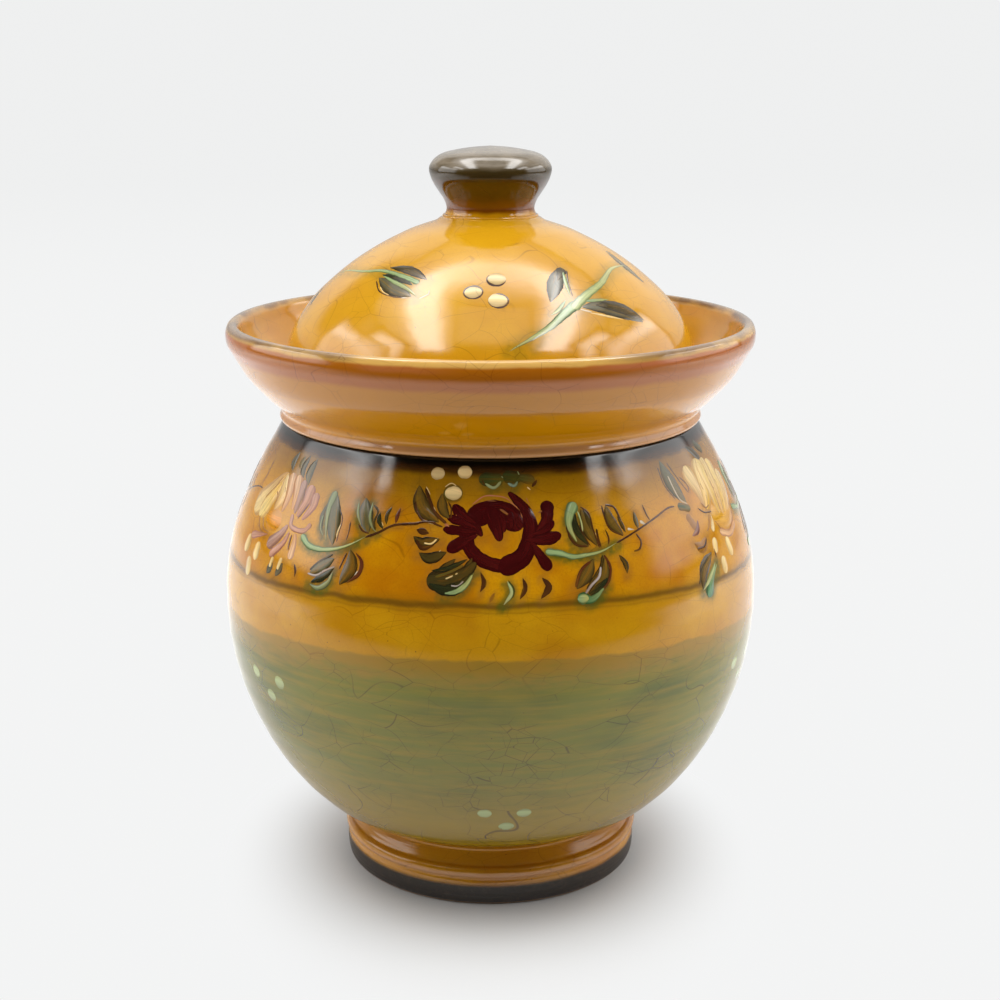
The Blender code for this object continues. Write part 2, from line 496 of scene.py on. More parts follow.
def crazing(shader):
    """The fine net of cracks in the glaze: 1 on a crack. Wide slanting cells with a finer net in places."""
    lines = []
    for cell, width, reach in CRAZE_NETS:
        slanted = {"Vector": shader.place(), "Rotation": CRAZE_SLANT, "Scale": CRAZE_STRETCH}
        where = shader.add("ShaderNodeMapping", slanted)
        inputs = {"Vector": shader.place(), "Scale": 0.06, "Detail": 0.0}
        bend = shader.add("ShaderNodeTexNoise", inputs, output="Color")
        shift = shader.vector_math("MULTIPLY", bend, (cell * CRAZE_BEND,) * 3)
        where = shader.vector_math("ADD", where, shift)
        inputs = {"Vector": where, "Scale": 1.0 / cell}
        edge = shader.add("ShaderNodeTexVoronoi", inputs, feature="DISTANCE_TO_EDGE")
        line = shader.ramp(edge, width, width * 0.25)
        shown = shader.ramp(shader.noise(20.0, 2.0, offset=cell), *reach)
        lines.append(shader.times(line, shown))
    return shader.most(*lines)


def iron_specks(shader):
    """Small dark specks, a few to the square centimetre."""
    inputs = {"Vector": shader.place(), "Scale": 1.0 / SPECK_SPACING, "Randomness": 1.0}
    distance = shader.add("ShaderNodeTexVoronoi", inputs)
    chosen = shader.ramp(shader.noise(3.1, 0.0, offset=7.0), 0.60, 0.68)
    return shader.times(shader.ramp(distance, 0.085, 0.045), chosen)


def amber_glaze(shader):
    """The honey glaze: cloudy, faintly streaked round the jar, deeper where it is thick."""
    streaks = shader.noise(3.2, 3.0, 0.6, stretch=(0.12, 0.12, 1.0))
    colour = shader.over(AMBER, shader.noise(26.0, 3.0, 0.55), (0.38, 0.66, 1.0, DEEP_AMBER))
    colour = shader.over(colour, shader.noise(17.0, 2.0, offset=31.0), (0.50, 0.72, 0.55, HONEY))
    colour = shader.over(colour, streaks, (0.30, 0.72, 0.22, DEEP_AMBER))
    return shader.over(colour, shader.noise(0.55, 3.0, 0.7, offset=23.0), (0.40, 0.72, 0.30, GRAIN_BROWN))


def stained(shader, colour):
    """The colour with green and dark stains run out of the paint."""
    mottle = shader.ramp(shader.noise(2.4, 3.0, 0.6, offset=13.0), 0.30, 0.62, 0.45, 1.0)
    colour = shader.mix(shader.times(shader.attribute("green_stain"), mottle), colour, STAIN_GREEN)
    return shader.mix(shader.times(shader.attribute("dark_stain"), mottle), colour, OXIDE_BROWN)


def aged(shader, colour, craze_strength=0.5):
    """The colour with crazing and iron specks over it."""
    colour = shader.mix(shader.times(crazing(shader), craze_strength), colour, CRAZE_SHADE, "MULTIPLY")
    return shader.mix(shader.times(iron_specks(shader), SPECK_STRENGTH), colour, IRON_SPECK)


def glaze_bump(shader):
    """Orange-peel and the soft marks of the wheel, too low to feel."""
    peel = shader.noise(5.0, 2.0)
    wheel = shader.noise(2.4, 2.0, stretch=(0.06, 0.06, 1.0))
    return shader.bump(shader.moved(peel, wheel, 0.25), 0.10, 0.35)


def bowl_ground(shader):
    """The jar's side under the garland: amber above the green band, and black slip below the neck, deepened
    by painted shade.
    """
    hand = shader.drift(9.0, 2.0)
    fine = shader.drift(1.6, 3.0, 0.6, stretch=(0.25, 0.25, 1.0))
    height = shader.moved(shader.attribute("paint_height"), hand, 1.6)
    amber = amber_glaze(shader)

    clouds = shader.noise(22.0, 3.0, stretch=(0.5, 0.5, 1.0))
    brushing = shader.noise(1.9, 4.0, 0.65, stretch=(0.07, 0.07, 1.0))
    green = shader.over(GREEN_BAND, clouds, (0.40, 0.62, 1.0, GREEN_DARK))
    green = shader.over(green, brushing, (0.35, 0.75, 0.6, OLIVE_FOOT))
    green = shader.over(green, shader.moved(height, fine, 14.0), (58.0, 26.0, 1.0, OLIVE_FOOT))
    green = shader.over(green, shader.moved(height, fine, 10.0), (76.0, GREEN_TOP, 1.0, BORDER_TAN))

    edge = shader.moved(height, fine, 1.6)
    lower_amber = shader.mix(0.35, amber, YELLOW_AMBER)
    amber = shader.over(lower_amber, edge, (99.0, 102.0, 1.0, amber))
    colour = shader.over(green, edge, (GREEN_TOP - 0.8, GREEN_TOP + 0.4, 1.0, amber))
    uneven = shader.moved(height, fine, 0.8)
    for level, middle, half_width, softness, share, brown in (
        (height, LINE_HEIGHT, 1.6, 1.6, 0.35, LINE_GREEN),
        (uneven, LINE_HEIGHT - 1.6, 0.2, 0.35, 0.35, LINE_BROWN),
        (uneven, LINE_HEIGHT, 0.7, 0.7, 0.85, LINE_BROWN),
    ):
        band = shader.band(level, middle, half_width, softness)
        colour = shader.mix(shader.times(band, share), colour, brown)
    colour = stained(shader, colour)

    # A brown haze and black slip under the collar, each deepened by painted shade where the collar overhangs
    # the shoulder.
    slip_edge = shader.moved(shader.moved(shader.height(), hand, 1.6), fine, 1.2)
    return shader.over(colour, slip_edge, (120.0, 132.5, 0.65, HAZE_AND_SHADE_BROWN), (131.4, 133.4, 1.0, SLIP_BROWN),
                       (133.2, 135.0, 1.0, SLIP_AND_SHADE_BLACK))


def bowl_material():
    shader = Shader("bowl_glaze")
    colour = shader.over(bowl_ground(shader), shader.height(), (20.0, 16.5, 1.0, DEEP_AMBER))
    colour = shader.mix(shader.attribute("inside"), colour, amber_glaze(shader))
    colour = aged(shader, colour, shader.ramp(shader.attribute("paint_height"), 80.0, 92.0, 0.85, 0.40))
    under = shader.attribute("underside")
    colour = shader.mix(under, colour, CLAY)
    roughness = shader.mix(under, (GLAZE_ROUGHNESS,) * 3, (UNDERSIDE_ROUGHNESS,) * 3)
    return shader.finish(colour, roughness, GLAZE_IOR, glaze_bump(shader))


def painted_material(name, ground):
    """Paint under the glaze, streaked by the brush, over the ground that it lets through where it is thin."""
    shader = Shader(name)
    cover = shader.attribute("paint", "Alpha")
    along = shader.vector_math("MULTIPLY", shader.attribute("brush", "Vector"), HAIR_STRETCH)
    hairs = shader.add("ShaderNodeTexNoise", {"Vector": along, "Scale": 1.0, "Detail": 2.0, "Roughness": 0.6})
    thin = shader.ramp(shader.noise(1.3, 3.0, 0.6, offset=3.0), 0.28, 0.55, 0.88, 1.0)
    thin = shader.times(thin, shader.ramp(hairs, 0.32, 0.58, 0.62, 1.0))
    shade = shader.ramp(hairs, 0.30, 0.68, 0.76, 1.14)
    paint = shader.mix(1.0, shader.attribute("paint", "Color"), shade, "MULTIPLY")
    colour = shader.mix(shader.math("MINIMUM", shader.times(cover, thin), 1.0), ground(shader), paint)
    colour = aged(shader, colour, 0.3)
    return shader.finish(colour, GLAZE_ROUGHNESS, GLAZE_IOR, glaze_bump(shader))


def collar_material():
    """Tan above a pool of thicker glaze, with a dark line under the pale, worn crest of the rim and its
    painted highlight.
    """
    shader = Shader("collar_glaze")
    inside = shader.attribute("inside")
    drift = shader.drift(12.0, 3.0)
    height = shader.moved(shader.height(), drift, 1.4)
    outside = shader.over(POOL_AMBER, height, (149.4, 150.2, 1.0, TAN_GLAZE), (155.6, 157.4, 1.0, PINK_BROWN),
                          (159.0, 160.2, 1.0, RIM_DARK))
    reddened = shader.ramp(shader.noise(34.0, 1.0, offset=5.0), 0.42, 0.62)
    outside = shader.mix(shader.times(shader.band(height, 162.4, 1.0, 0.8), reddened), outside, TERRACOTTA)
    gallery = shader.mix(0.5, amber_glaze(shader), LID_HONEY)
    colour = shader.mix(inside, outside, gallery)
    # The crest's gold is partly its own pale glaze and partly a painted highlight where it faces the light.
    colour = shader.over(colour, height, (162.6, 163.6, 1.0, CREST_GOLD_AND_HIGHLIGHT))
    crest = shader.ramp(shader.moved(height, drift, 1.5), 162.4, 164.4)
    across = shader.part(shader.place(), 0)
    aside = shader.ramp(shader.math("ABSOLUTE", across), 22.0, 52.0, 0.12, 1.0)
    patches = shader.ramp(shader.noise(16.0, 3.0, offset=11.0), 0.36, 0.58, 0.25, 1.0)
    worn = shader.times(crest, shader.times(patches, aside))
    colour = shader.mix(worn, colour, OXIDE_BROWN)
    colour = shader.mix(shader.times(shader.ramp(height, 163.4, 165.2, 0.0, 0.75), aside), colour, OXIDE_GREY)
    bead = shader.times(shader.ramp(height, 139.6, 138.6), shader.math("SUBTRACT", 1.0, inside))
    colour = shader.mix(shader.times(bead, 0.7), colour, PINK_BEAD_AND_HIGHLIGHT)
    colour = aged(shader, colour, 0.45)
    return shader.finish(colour, COLLAR_ROUGHNESS, GLAZE_IOR, glaze_bump(shader))


def lid_ground(shader):
    """The lid under its painted sprays."""
    return stained(shader, shader.mix(0.6, amber_glaze(shader), LID_HONEY))


def lid_material():
    shader = Shader("lid_glaze")
    colour = aged(shader, lid_ground(shader), 0.45)
    return shader.finish(colour, GLAZE_ROUGHNESS, GLAZE_IOR, glaze_bump(shader))


def knob_material():
    """Grey oxide with a painted sheen on top, and a dark flank, deepened by painted shade, that grows warmer
    down to the lid.
    """
    shader = Shader("knob_glaze")
    height = shader.moved(shader.height(), shader.drift(6.0, 3.0), 1.8)
    streaks = shader.noise(1.2, 3.0, 0.6, stretch=(0.2, 0.2, 1.0))
    # Grey oxide on top, lightened by a painted sheen.
    grey = shader.over(KNOB_GREY_AND_SHEEN, streaks, (0.35, 0.7, 0.4, KNOB_OLIVE))
    # Dark glaze under the knob's widest part and at its neck, deepened there by painted shade.
    colour = shader.over(AMBER, height, (194.8, 196.4, 1.0, KNOB_AMBER_AND_SHADE), (195.8, 201.5, 1.0, KNOB_DARK_AND_SHADE),
                         (204.2, 205.6, 1.0, KNOB_OLIVE), (207.2, 209.6, 1.0, grey))
    colour = aged(shader, colour, 0.3)
    return shader.finish(colour, KNOB_ROUGHNESS, GLAZE_IOR, glaze_bump(shader))


def foot_material():
    """Amber in the throwing ridges of the cove and the bead, with a painted highlight on the bead, and dark
    brown below it.
    """
    shader = Shader("foot_glaze")
    height = shader.moved(shader.height(), shader.drift(7.0, 3.0), 0.7)
    amber = shader.mix(0.5, amber_glaze(shader), TAN_GLAZE)
    dark = shader.over(FOOT_DARK, shader.noise(1.8, 4.0, 0.65), (0.50, 0.68, 0.4, FOOT_WORN))
    # A painted highlight: a pale band along the bead where it catches the light.
    amber = shader.mix(shader.band(height, 9.1, 0.8, 0.7), amber, PINK_BEAD_AND_HIGHLIGHT)
    base = shader.ramp(height, 7.0, 5.4)
    colour = shader.mix(base, amber, dark)
    sole = shader.ramp(shader.height(), 0.9, 0.3)
    colour = shader.mix(shader.times(sole, 0.8), colour, CLAY)
    colour = aged(shader, colour, 0.3)
    roughness = shader.mix(base, (FOOT_ROUGHNESS,) * 3, (FOOT_DARK_ROUGHNESS,) * 3)
    roughness = shader.mix(sole, roughness, (SOLE_ROUGHNESS,) * 3)
    ridges = shader.noise(1.1, 2.0, stretch=(0.03, 0.03, 1.0))
    return shader.finish(colour, roughness, GLAZE_IOR, shader.bump(ridges, 0.22, 0.8))


def clay_material():
    shader = Shader("bare_clay")
    grain = shader.noise(0.7, 4.0, 0.7)
    colour = shader.over(CLAY, grain, (0.35, 0.7, 1.0, CLAY_DARK))
    colour = shader.over(colour, shader.noise(9.0, 3.0), (0.5, 0.7, 0.5, CLAY_STAIN))
    return shader.finish(colour, CLAY_ROUGHNESS, CLAY_IOR, shader.bump(grain, 0.12, 0.5))


# The garland. A stroke is (paint, shape, width in mm, place, place ...), laid over the ones before it.
# Shapes: a leaf is pointed at both ends, a drop is round where it starts and pointed where it ends, a comma
# is a fuller drop, a petal is a leaf widest near its start, a bar is round at both ends, and a line is thin.
# Places are (right, up) from the flower's middle, in mm.
BURGUNDY_ROSE = (
    ("moss", "bar", 4.0, (-3.5, 13.5), (-1, 13.5)),
    ("pale_green", "line", 0.9, (-4, 12.5), (-1.5, 11.5), (0.5, 13)),
    ("moss", "bar", 3.6, (3, 14), (4.5, 14)),
    ("sea_green", "line", 1.0, (2.5, 12.5), (4.5, 12), (5.5, 13)),
    ("pale_green", "line", 0.4, (0.5, 14.5), (1.5, 13.5)),
    ("pale_green", "line", 0.4, (5.5, 15.5), (6, 14)),
    ("olive", "bar", 2.8, (7.5, 13.5), (9, 13.5)),
    ("cream", "line", 0.6, (8, 11.5), (9, 11)),
    ("brown", "line", 0.8, (9.5, 11.5), (11, 13)),
    ("brown", "line", 0.4, (-5, 13.5), (-4, 12)),
    ("burgundy", "bar", 6.2, (-5.5, 5), (-3, 6), (0, 6), (2.5, 5), (3.5, 4)),
    ("burgundy", "bar", 4.8, (-6.5, 4.5), (-8, 2.5), (-8.5, 1)),
    ("burgundy", "comma", 3.2, (-7, 4), (-6, 2), (-4.5, 0)),
    ("burgundy", "comma", 4.6, (-2, 5), (-1, 2.5), (0, -1)),
    ("burgundy", "comma", 2.7, (0.5, 5), (1, 3), (1, 1)),
    ("burgundy", "comma", 2.3, (2.5, 5), (3, 3.5), (3, 2)),
    ("burgundy", "bar", 3.8, (-8.5, 0.5), (-8, -2), (-5.5, -5), (-2.5, -6.5), (0, -7)),
    ("burgundy", "comma", 5.6, (2, -7), (5.5, -5), (7.5, -1.5), (8, 2.5), (7, 6), (5, 8.5), (2.5, 10.5)),
    ("burgundy", "petal", 3.2, (-12.5, 7.5), (-10, 5), (-6, 3)),
    ("burgundy", "petal", 2.6, (-14, 4.5), (-10.5, 3.5), (-6, 2)),
    ("burgundy", "petal", 2.8, (-15, 1.5), (-11, 1.5), (-6, 1)),
    ("burgundy", "petal", 3.6, (-13.5, -3.5), (-10, -1.5), (-5.5, 0.5)),
    ("burgundy", "comma", 3.8, (13, 6.5), (12.5, 3.5), (9.5, 0.5)),
    ("burgundy", "petal", 2.4, (14.5, 3.5), (12, 1.5), (7.5, 0)),
    ("burgundy", "petal", 3.4, (16, 0), (12, -1), (6, -1)),
    ("burgundy", "comma", 3.2, (11.5, -7), (10, -4.5), (8, -1.5)),
    ("rose_line", "line", 0.35, (-7.5, 7.5), (-4.5, 9.5), (-1, 9.5), (2, 9), (4, 7.5), (5.5, 6), (6, 4)),
    # Plum lines in the cap: partly incised lines, partly painted glints of reflection in the glaze.
    ("plum", "line", 0.7, (0, 6.5), (2.5, 5)),
    ("plum", "line", 0.5, (1, 3.5), (1.5, 2.5)),
    ("plum", "line", 0.35, (-3.5, 8.5), (-0.5, 8.5)),
    ("plum", "line", 0.5, (10.5, 5.5), (12, 6)),
    ("rose_line", "line", 0.3, (7.5, 9), (8, 7.5)),
    ("rose_line", "line", 0.4, (-14.5, 2.5), (-13, 2)),
    ("rose_line", "line", 0.4, (-12, 4), (-11.5, 5.5)),
    ("olive", "bar", 5.2, (-13, 10)),
    ("dot_cream", "bar", 3.8, (-18, 14.5)),
    ("dot_cream", "bar", 3.9, (-10, 15)),
    ("dot_cream", "bar", 4.5, (-13, 10)),
    ("cream", "line", 0.3, (-15.5, 11.5), (-13.5, 12.5), (-11, 11)),
    ("dark_leaf", "leaf", 2.4, (-16.5, -11.5), (-14.5, -8.5), (-11, -5.5)),
    ("dark_leaf", "leaf", 1.9, (-10, -10.5), (-8.5, -8), (-7, -5)),
    ("dark_leaf", "comma", 5.8, (-15.5, -11), (-12.5, -10.5), (-9, -9), (-6, -6)),
    ("black_green", "leaf", 3.6, (-17.5, -11.5), (-13.5, -13), (-10, -12), (-6.5, -8.5)),
    ("black_green", "leaf", 1.6, (-17, -8.5), (-13, -8), (-8, -5.5)),
    ("celadon", "leaf", 1.6, (-14, -14), (-11, -13.5), (-8.5, -11.5), (-6.5, -8.5)),
    ("olive", "line", 0.8, (-16, -10), (-13, -9), (-9, -7)),
    ("cream", "line", 0.45, (-14, -10.5), (-12, -9.5), (-10, -8.5)),
    ("lilac", "line", 0.45, (-12.5, -12), (-10.5, -12), (-8.5, -10.5)),
    ("cream", "line", 0.3, (-16.5, -10.5), (-15.5, -9.5)),
    ("brown", "leaf", 1.3, (-5, -8.5), (-4, -11), (-5, -13.5)),
    ("faint_brown", "leaf", 1.1, (-1.5, -13.5), (-2.5, -16)),
    ("moss", "leaf", 1.2, (2, -10.5), (3, -13.5), (1.5, -16)),
    ("pale_celadon", "leaf", 1.2, (1.5, -10.5), (2.5, -13.5), (0.5, -16.5)),
    ("brown", "leaf", 1.3, (5.5, -10), (6, -12.5), (4.5, -15.5)),
    ("brown", "leaf", 1.9, (10, -10), (11.5, -12.5), (9.5, -15.5)),
)

LEAVES_LEFT_OF_ROSE = (
    ("olive_wash", "leaf", 4.8, (-23, 11.5), (-21.5, 7), (-16, 3)),
    ("olive_wash", "leaf", 3.0, (-16, 10), (-15.5, 6.5), (-13.5, 4)),
    ("brown", "line", 0.6, (-23.5, 8), (-22.5, 5.5), (-20.5, 3.5), (-17, 3)),
    ("brown", "line", 0.9, (-21, 11), (-19.5, 8.5), (-17.5, 5.5), (-14, 3)),
    ("cream", "line", 0.3, (-21, 11.5), (-19.5, 9.5)),
    ("cream", "line", 0.35, (-19, 7.5), (-18, 6.5), (-17, 5)),
    ("brown", "line", 0.4, (-14, 8), (-13, 6.5), (-13, 4)),
    ("rose_line", "line", 0.6, (-14.5, 3), (-13, 2)),
    ("brown", "line", 0.55, (-27, 2), (-22.5, 2.5), (-19, 3), (-15, 2)),
    ("cream", "line", 0.3, (-19.5, 3), (-16.5, 2.5)),
    ("brown", "leaf", 1.8, (-22, 1), (-18.5, 0.5)),
    ("dark_leaf", "leaf", 3.0, (-22.5, -0.5), (-20, -2), (-15.5, -1)),
    ("brown", "leaf", 1.4, (-22, -1), (-20, -3), (-17, -2.5)),
    ("cream", "line", 0.55, (-20, -2), (-17.5, -2), (-16, -0.5)),
    ("dark_leaf", "leaf", 3.2, (-20.5, -4.5), (-18, -5.5), (-13.5, -4)),
    ("cream", "line", 0.3, (-16, -5), (-15, -3.5)),
)

LONG_SPRAY = (
    ("olive_wash", "leaf", 3.2, (6.5, 7.5), (7.5, 3), (11, 0.5)),
    ("olive_wash", "leaf", 3.4, (10.5, 9.5), (11.5, 5), (13.5, 0.5)),
    ("black_green", "leaf", 2.2, (8.5, 9), (8, 5.5), (11, 0.5)),
    ("dark_leaf", "leaf", 1.8, (11, 9.5), (12, 7.5), (12.5, 4)),
    ("brown", "line", 0.6, (6, 8), (6, 4.5), (7.5, 1.5), (11, 0.5)),
    ("brown", "line", 0.5, (10.5, 10), (12.5, 8.5), (13, 5), (13.5, 2), (14, 0)),
    ("brown", "line", 0.45, (9.5, 6), (10, 3.5), (11.5, 0.5)),
    ("celadon", "drop", 3.4, (8, 10), (7, 8.5), (6.5, 6), (8, 1.5)),
    ("pale_celadon", "line", 0.5, (9.5, 9), (10, 6.5), (10, 4)),
    ("brown", "line", 0.55, (14, 4.5), (14, 2), (14.5, 0)),
    ("cream", "line", 0.35, (13.5, 3.5), (13.5, 2)),
    ("brown", "line", 0.5, (16.5, 4), (17, 2), (16.5, 0.5)),
    ("olive_wash", "leaf", 3.4, (18, 10), (18.5, 6), (21.5, 2)),
    ("brown", "line", 0.5, (17, 10), (17, 7), (18, 4), (21.5, 2)),
    ("brown", "line", 0.6, (18, 10), (20.5, 9), (21.5, 6.5), (22, 3)),
    ("dark_leaf", "leaf", 1.2, (21, 7), (21.5, 5), (22.5, 2.5)),
    ("grey_leaf", "leaf", 1.5, (26.5, 7.5), (26.5, 5), (26.5, 3)),
    ("white", "drop", 0.8, (23.5, 3.5), (25.5, 3)),
    ("brown", "line", 0.5, (30, 8.5), (30.5, 6), (31, 4.5)),
    ("white", "drop", 1.0, (28, 4.5), (29, 4), (30, 4)),
    ("brown", "line", 0.6, (25.5, 2), (26.5, 0), (25.5, -2), (23.5, -2)),
    ("dark_leaf", "leaf", 1.7, (19, -2.5), (20.5, -5), (20.5, -7.5)),
    ("white", "line", 0.35, (20.5, -4.5), (21, -6.5)),
    ("olive_wash", "leaf", 3.8, (12, -2.5), (9.5, -6), (6.5, -9.5)),
    ("red_brown", "line", 0.8, (11, -3), (8.5, -5), (7, -7), (6.5, -9)),
    ("dark_leaf", "line", 0.8, (14.5, -2), (13.5, -4.5), (11.5, -7), (9, -10)),
    ("olive_wash", "leaf", 3.6, (15, -2.5), (14.5, -6), (12.5, -9), (9, -12)),
    ("black_green", "leaf", 2.3, (15, -7.5), (12.5, -9.5), (9.5, -11.5)),
    ("red_brown", "line", 0.7, (15, -2), (16, -5), (15, -8.5), (13, -10.5)),
    ("lilac", "line", 0.8, (13.5, -4.5), (12.5, -7), (10.5, -9), (8.5, -11)),
    ("emerald", "drop", 3.0, (8, -12), (10, -12.5), (14, -9.5)),
    ("celadon", "bar", 3.0, (8, -12)),
    ("brown", "line", 0.5, (19, 0.5), (25.5, 2.5), (33, 5), (39, 6.5), (41.5, 6.5)),
    ("celadon", "drop", 2.0, (0.5, 0), (3, -0.5), (6.5, -1.5), (9.5, -1.5), (14, -1), (19, 0.5)),
)

BROAD_SPRAY = (
    ("grey_wash", "leaf", 5.0, (8.5, 12.5), (10, 6), (11.5, 0)),
    ("grey_leaf", "leaf", 1.6, (6, 10), (5.5, 6.5), (7, 2)),
    ("dull_celadon", "line", 0.6, (6, 7), (6, 4), (7.5, 2)),
    ("dull_celadon", "drop", 2.6, (7.5, 12), (7, 9.5), (7.5, 6), (9, 1)),
    ("brown", "line", 0.35, (10.5, 9.5), (12.5, 7), (12.5, 3.5), (12.5, 1)),
    ("cream", "line", 0.5, (12.5, 5.5), (12, 3.5), (12, 2)),
    ("brown", "line", 0.45, (15.5, 6.5), (15.5, 4), (15.5, 2)),
    ("grey_wash", "leaf", 4.6, (18.5, 13), (19.5, 9), (21.5, 4.5)),
    ("dull_celadon", "leaf", 0.9, (16.5, 12), (17, 9), (19, 6)),
    ("dull_celadon", "leaf", 1.0, (21, 12), (21, 8.5), (22.5, 6), (24, 5)),
    ("brown", "line", 0.5, (18, 6.5), (19.5, 5), (22, 4.5)),
    ("dark_leaf", "line", 0.6, (21.5, 11.5), (23, 10), (22.5, 7.5), (23.5, 5.5)),
    ("black_green", "leaf", 1.5, (24, 10), (24, 8), (25.5, 6)),
    ("dark_leaf", "leaf", 1.2, (27, 11.5), (26, 9.5), (26.5, 7)),
    ("cream", "line", 0.4, (25, 7.5), (25.5, 6.5)),
    ("red_brown", "leaf", 1.1, (29.5, 11.5), (29, 9.5), (29, 7.5)),
    ("cream", "line", 0.5, (27.5, 7), (29, 7)),
    ("brown", "line", 0.7, (21, 3.5), (24.5, 5), (28.5, 7), (35.5, 8)),
    ("celadon", "drop", 2.1, (1, 0.5), (3.5, -1), (7.5, -1.5), (11, -1), (14, 0), (17.5, 1.5), (21, 3.5)),
    ("grey_wash", "leaf", 3.6, (13, -3), (10, -5), (6, -8)),
    ("dark_leaf", "line", 0.6, (6, -7), (8.5, -4.5), (12.5, -2)),
    ("black_green", "leaf", 2.4, (7, -10), (10.5, -8), (13.5, -5)),
    ("lilac", "line", 0.7, (5.5, -8), (8.5, -8), (11, -6.5), (13.5, -5)),
    ("dull_celadon", "leaf", 1.6, (6.5, -10.5), (9.5, -11), (12.5, -9), (13.5, -6)),
    ("olive_wash", "leaf", 4.4, (17.5, 0), (18.5, -4), (16, -9)),
    ("brown", "line", 0.4, (16.5, -1), (15.5, -4), (15, -5.5)),
    ("red_brown", "leaf", 1.2, (19, -0.5), (21, -2.5), (21, -5.5), (18, -8.5)),
    ("white", "line", 0.35, (20.5, -5), (19.5, -7)),
    ("brown", "leaf", 0.6, (0.5, -7), (1, -8.5), (1, -10)),
)

YELLOW_ROSE = (
    ("grey_wash", "leaf", 5.0, (-14.5, 14), (-13.5, 8.5), (-10, 2)),
    ("brown", "line", 0.4, (-16.5, 12.5), (-16.5, 8), (-14, 4)),
    ("brown", "line", 0.4, (-11.5, 13), (-9.5, 8.5), (-7, 4.5)),
    ("white", "line", 0.6, (-13.5, 10), (-13, 6.5), (-12, 3.5), (-9.5, 2)),
    ("brown", "line", 0.35, (-8.5, 9), (-6, 6), (-7, 4.5)),
    ("moss", "bar", 2.4, (-13, 2), (-10, 1)),
    ("faint_brown", "bar", 2.6, (-11, -1.5), (-9.5, -4)),
    ("mauve", "leaf", 1.8, (-7.5, -2.5), (-9, -5), (-12, -6)),
    ("faint_brown", "leaf", 3.6, (-12, -8), (-9, -9.5), (-6, -7.5)),
    ("brown", "line", 0.7, (-6, -7.5), (-8, -9.5), (-11.5, -9.5)),
    ("dark_leaf", "leaf", 3.0, (2, 15), (6, 13), (9, 9.5)),
    ("moss", "bar", 3.0, (10.5, 14), (12, 13)),
    ("amber_petal", "bar", 8.0, (4, -3.5), (9, -4.5), (11, -4)),
    ("faint_brown", "line", 0.4, (1, -4.5), (4, -8), (9.5, -8.5), (14, -6), (15.5, -2)),
    ("straw", "comma", 7.0, (-3, 8), (-1.5, 4), (-0.5, -1)),
    ("yellow", "comma", 8.0, (3.5, 8), (2, 3.5), (-1, -1)),
    ("straw", "comma", 6.5, (16.5, 3.5), (15, -0.5), (11.5, -4)),
    ("yellow", "comma", 7.0, (12.5, 7), (12.5, 2), (9.5, -4)),
    ("straw", "comma", 6.0, (9, 8.5), (9, 2.5), (7.5, -4)),
    ("yellow", "comma", 6.0, (5.5, 8.5), (5.5, 2.5), (5.5, -3.5)),
    ("faint_brown", "line", 0.4, (0.5, 7), (1, 3), (0.5, -1)),
    ("faint_brown", "line", 0.4, (7.5, 9), (7.5, 3), (6.5, -3)),
    ("peach", "bar", 2.4, (3, -8), (8, -9.5), (13, -8)),
    ("faint_brown", "line", 0.35, (7, 4.5), (8.5, 1.5), (8, -2)),
    ("faint_brown", "line", 0.35, (11.5, 5), (12, 0.5), (10, -2.5)),
    ("faint_brown", "line", 0.5, (-3, 1), (-1.5, -0.5), (1, 0)),
    ("brown", "line", 0.5, (-5.5, 0), (-3, -1.5), (1, -2)),
    ("cream", "drop", 1.9, (-1.5, -6), (-0.5, -4.5), (0, -2.5)),
    ("faint_brown", "line", 0.4, (-1, -2.5), (-3.5, -5.5), (-5, -6)),
    ("cream", "bar", 3.0, (-2.5, -9.5), (-3, -11)),
    ("cream", "bar", 3.6, (4.5, -11.5), (5, -13.5)),
    ("cream", "bar", 3.6, (-0.5, -15.5), (-0.5, -17)),
    ("olive_wash", "leaf", 4.4, (-5.5, -11.5), (-10.5, -15), (-12.5, -20)),
    ("dark_leaf", "line", 0.6, (-7.5, -12), (-11.5, -14.5), (-13.5, -18.5)),
    ("brown", "line", 0.4, (-4, -11), (-4, -13.5)),
    ("emerald", "drop", 4.0, (-9.5, -21), (-8.5, -18.5), (-4.5, -15)),
    ("pale_celadon", "leaf", 1.6, (-5, -14.5), (-8.5, -17.5), (-12.5, -20.5)),
)

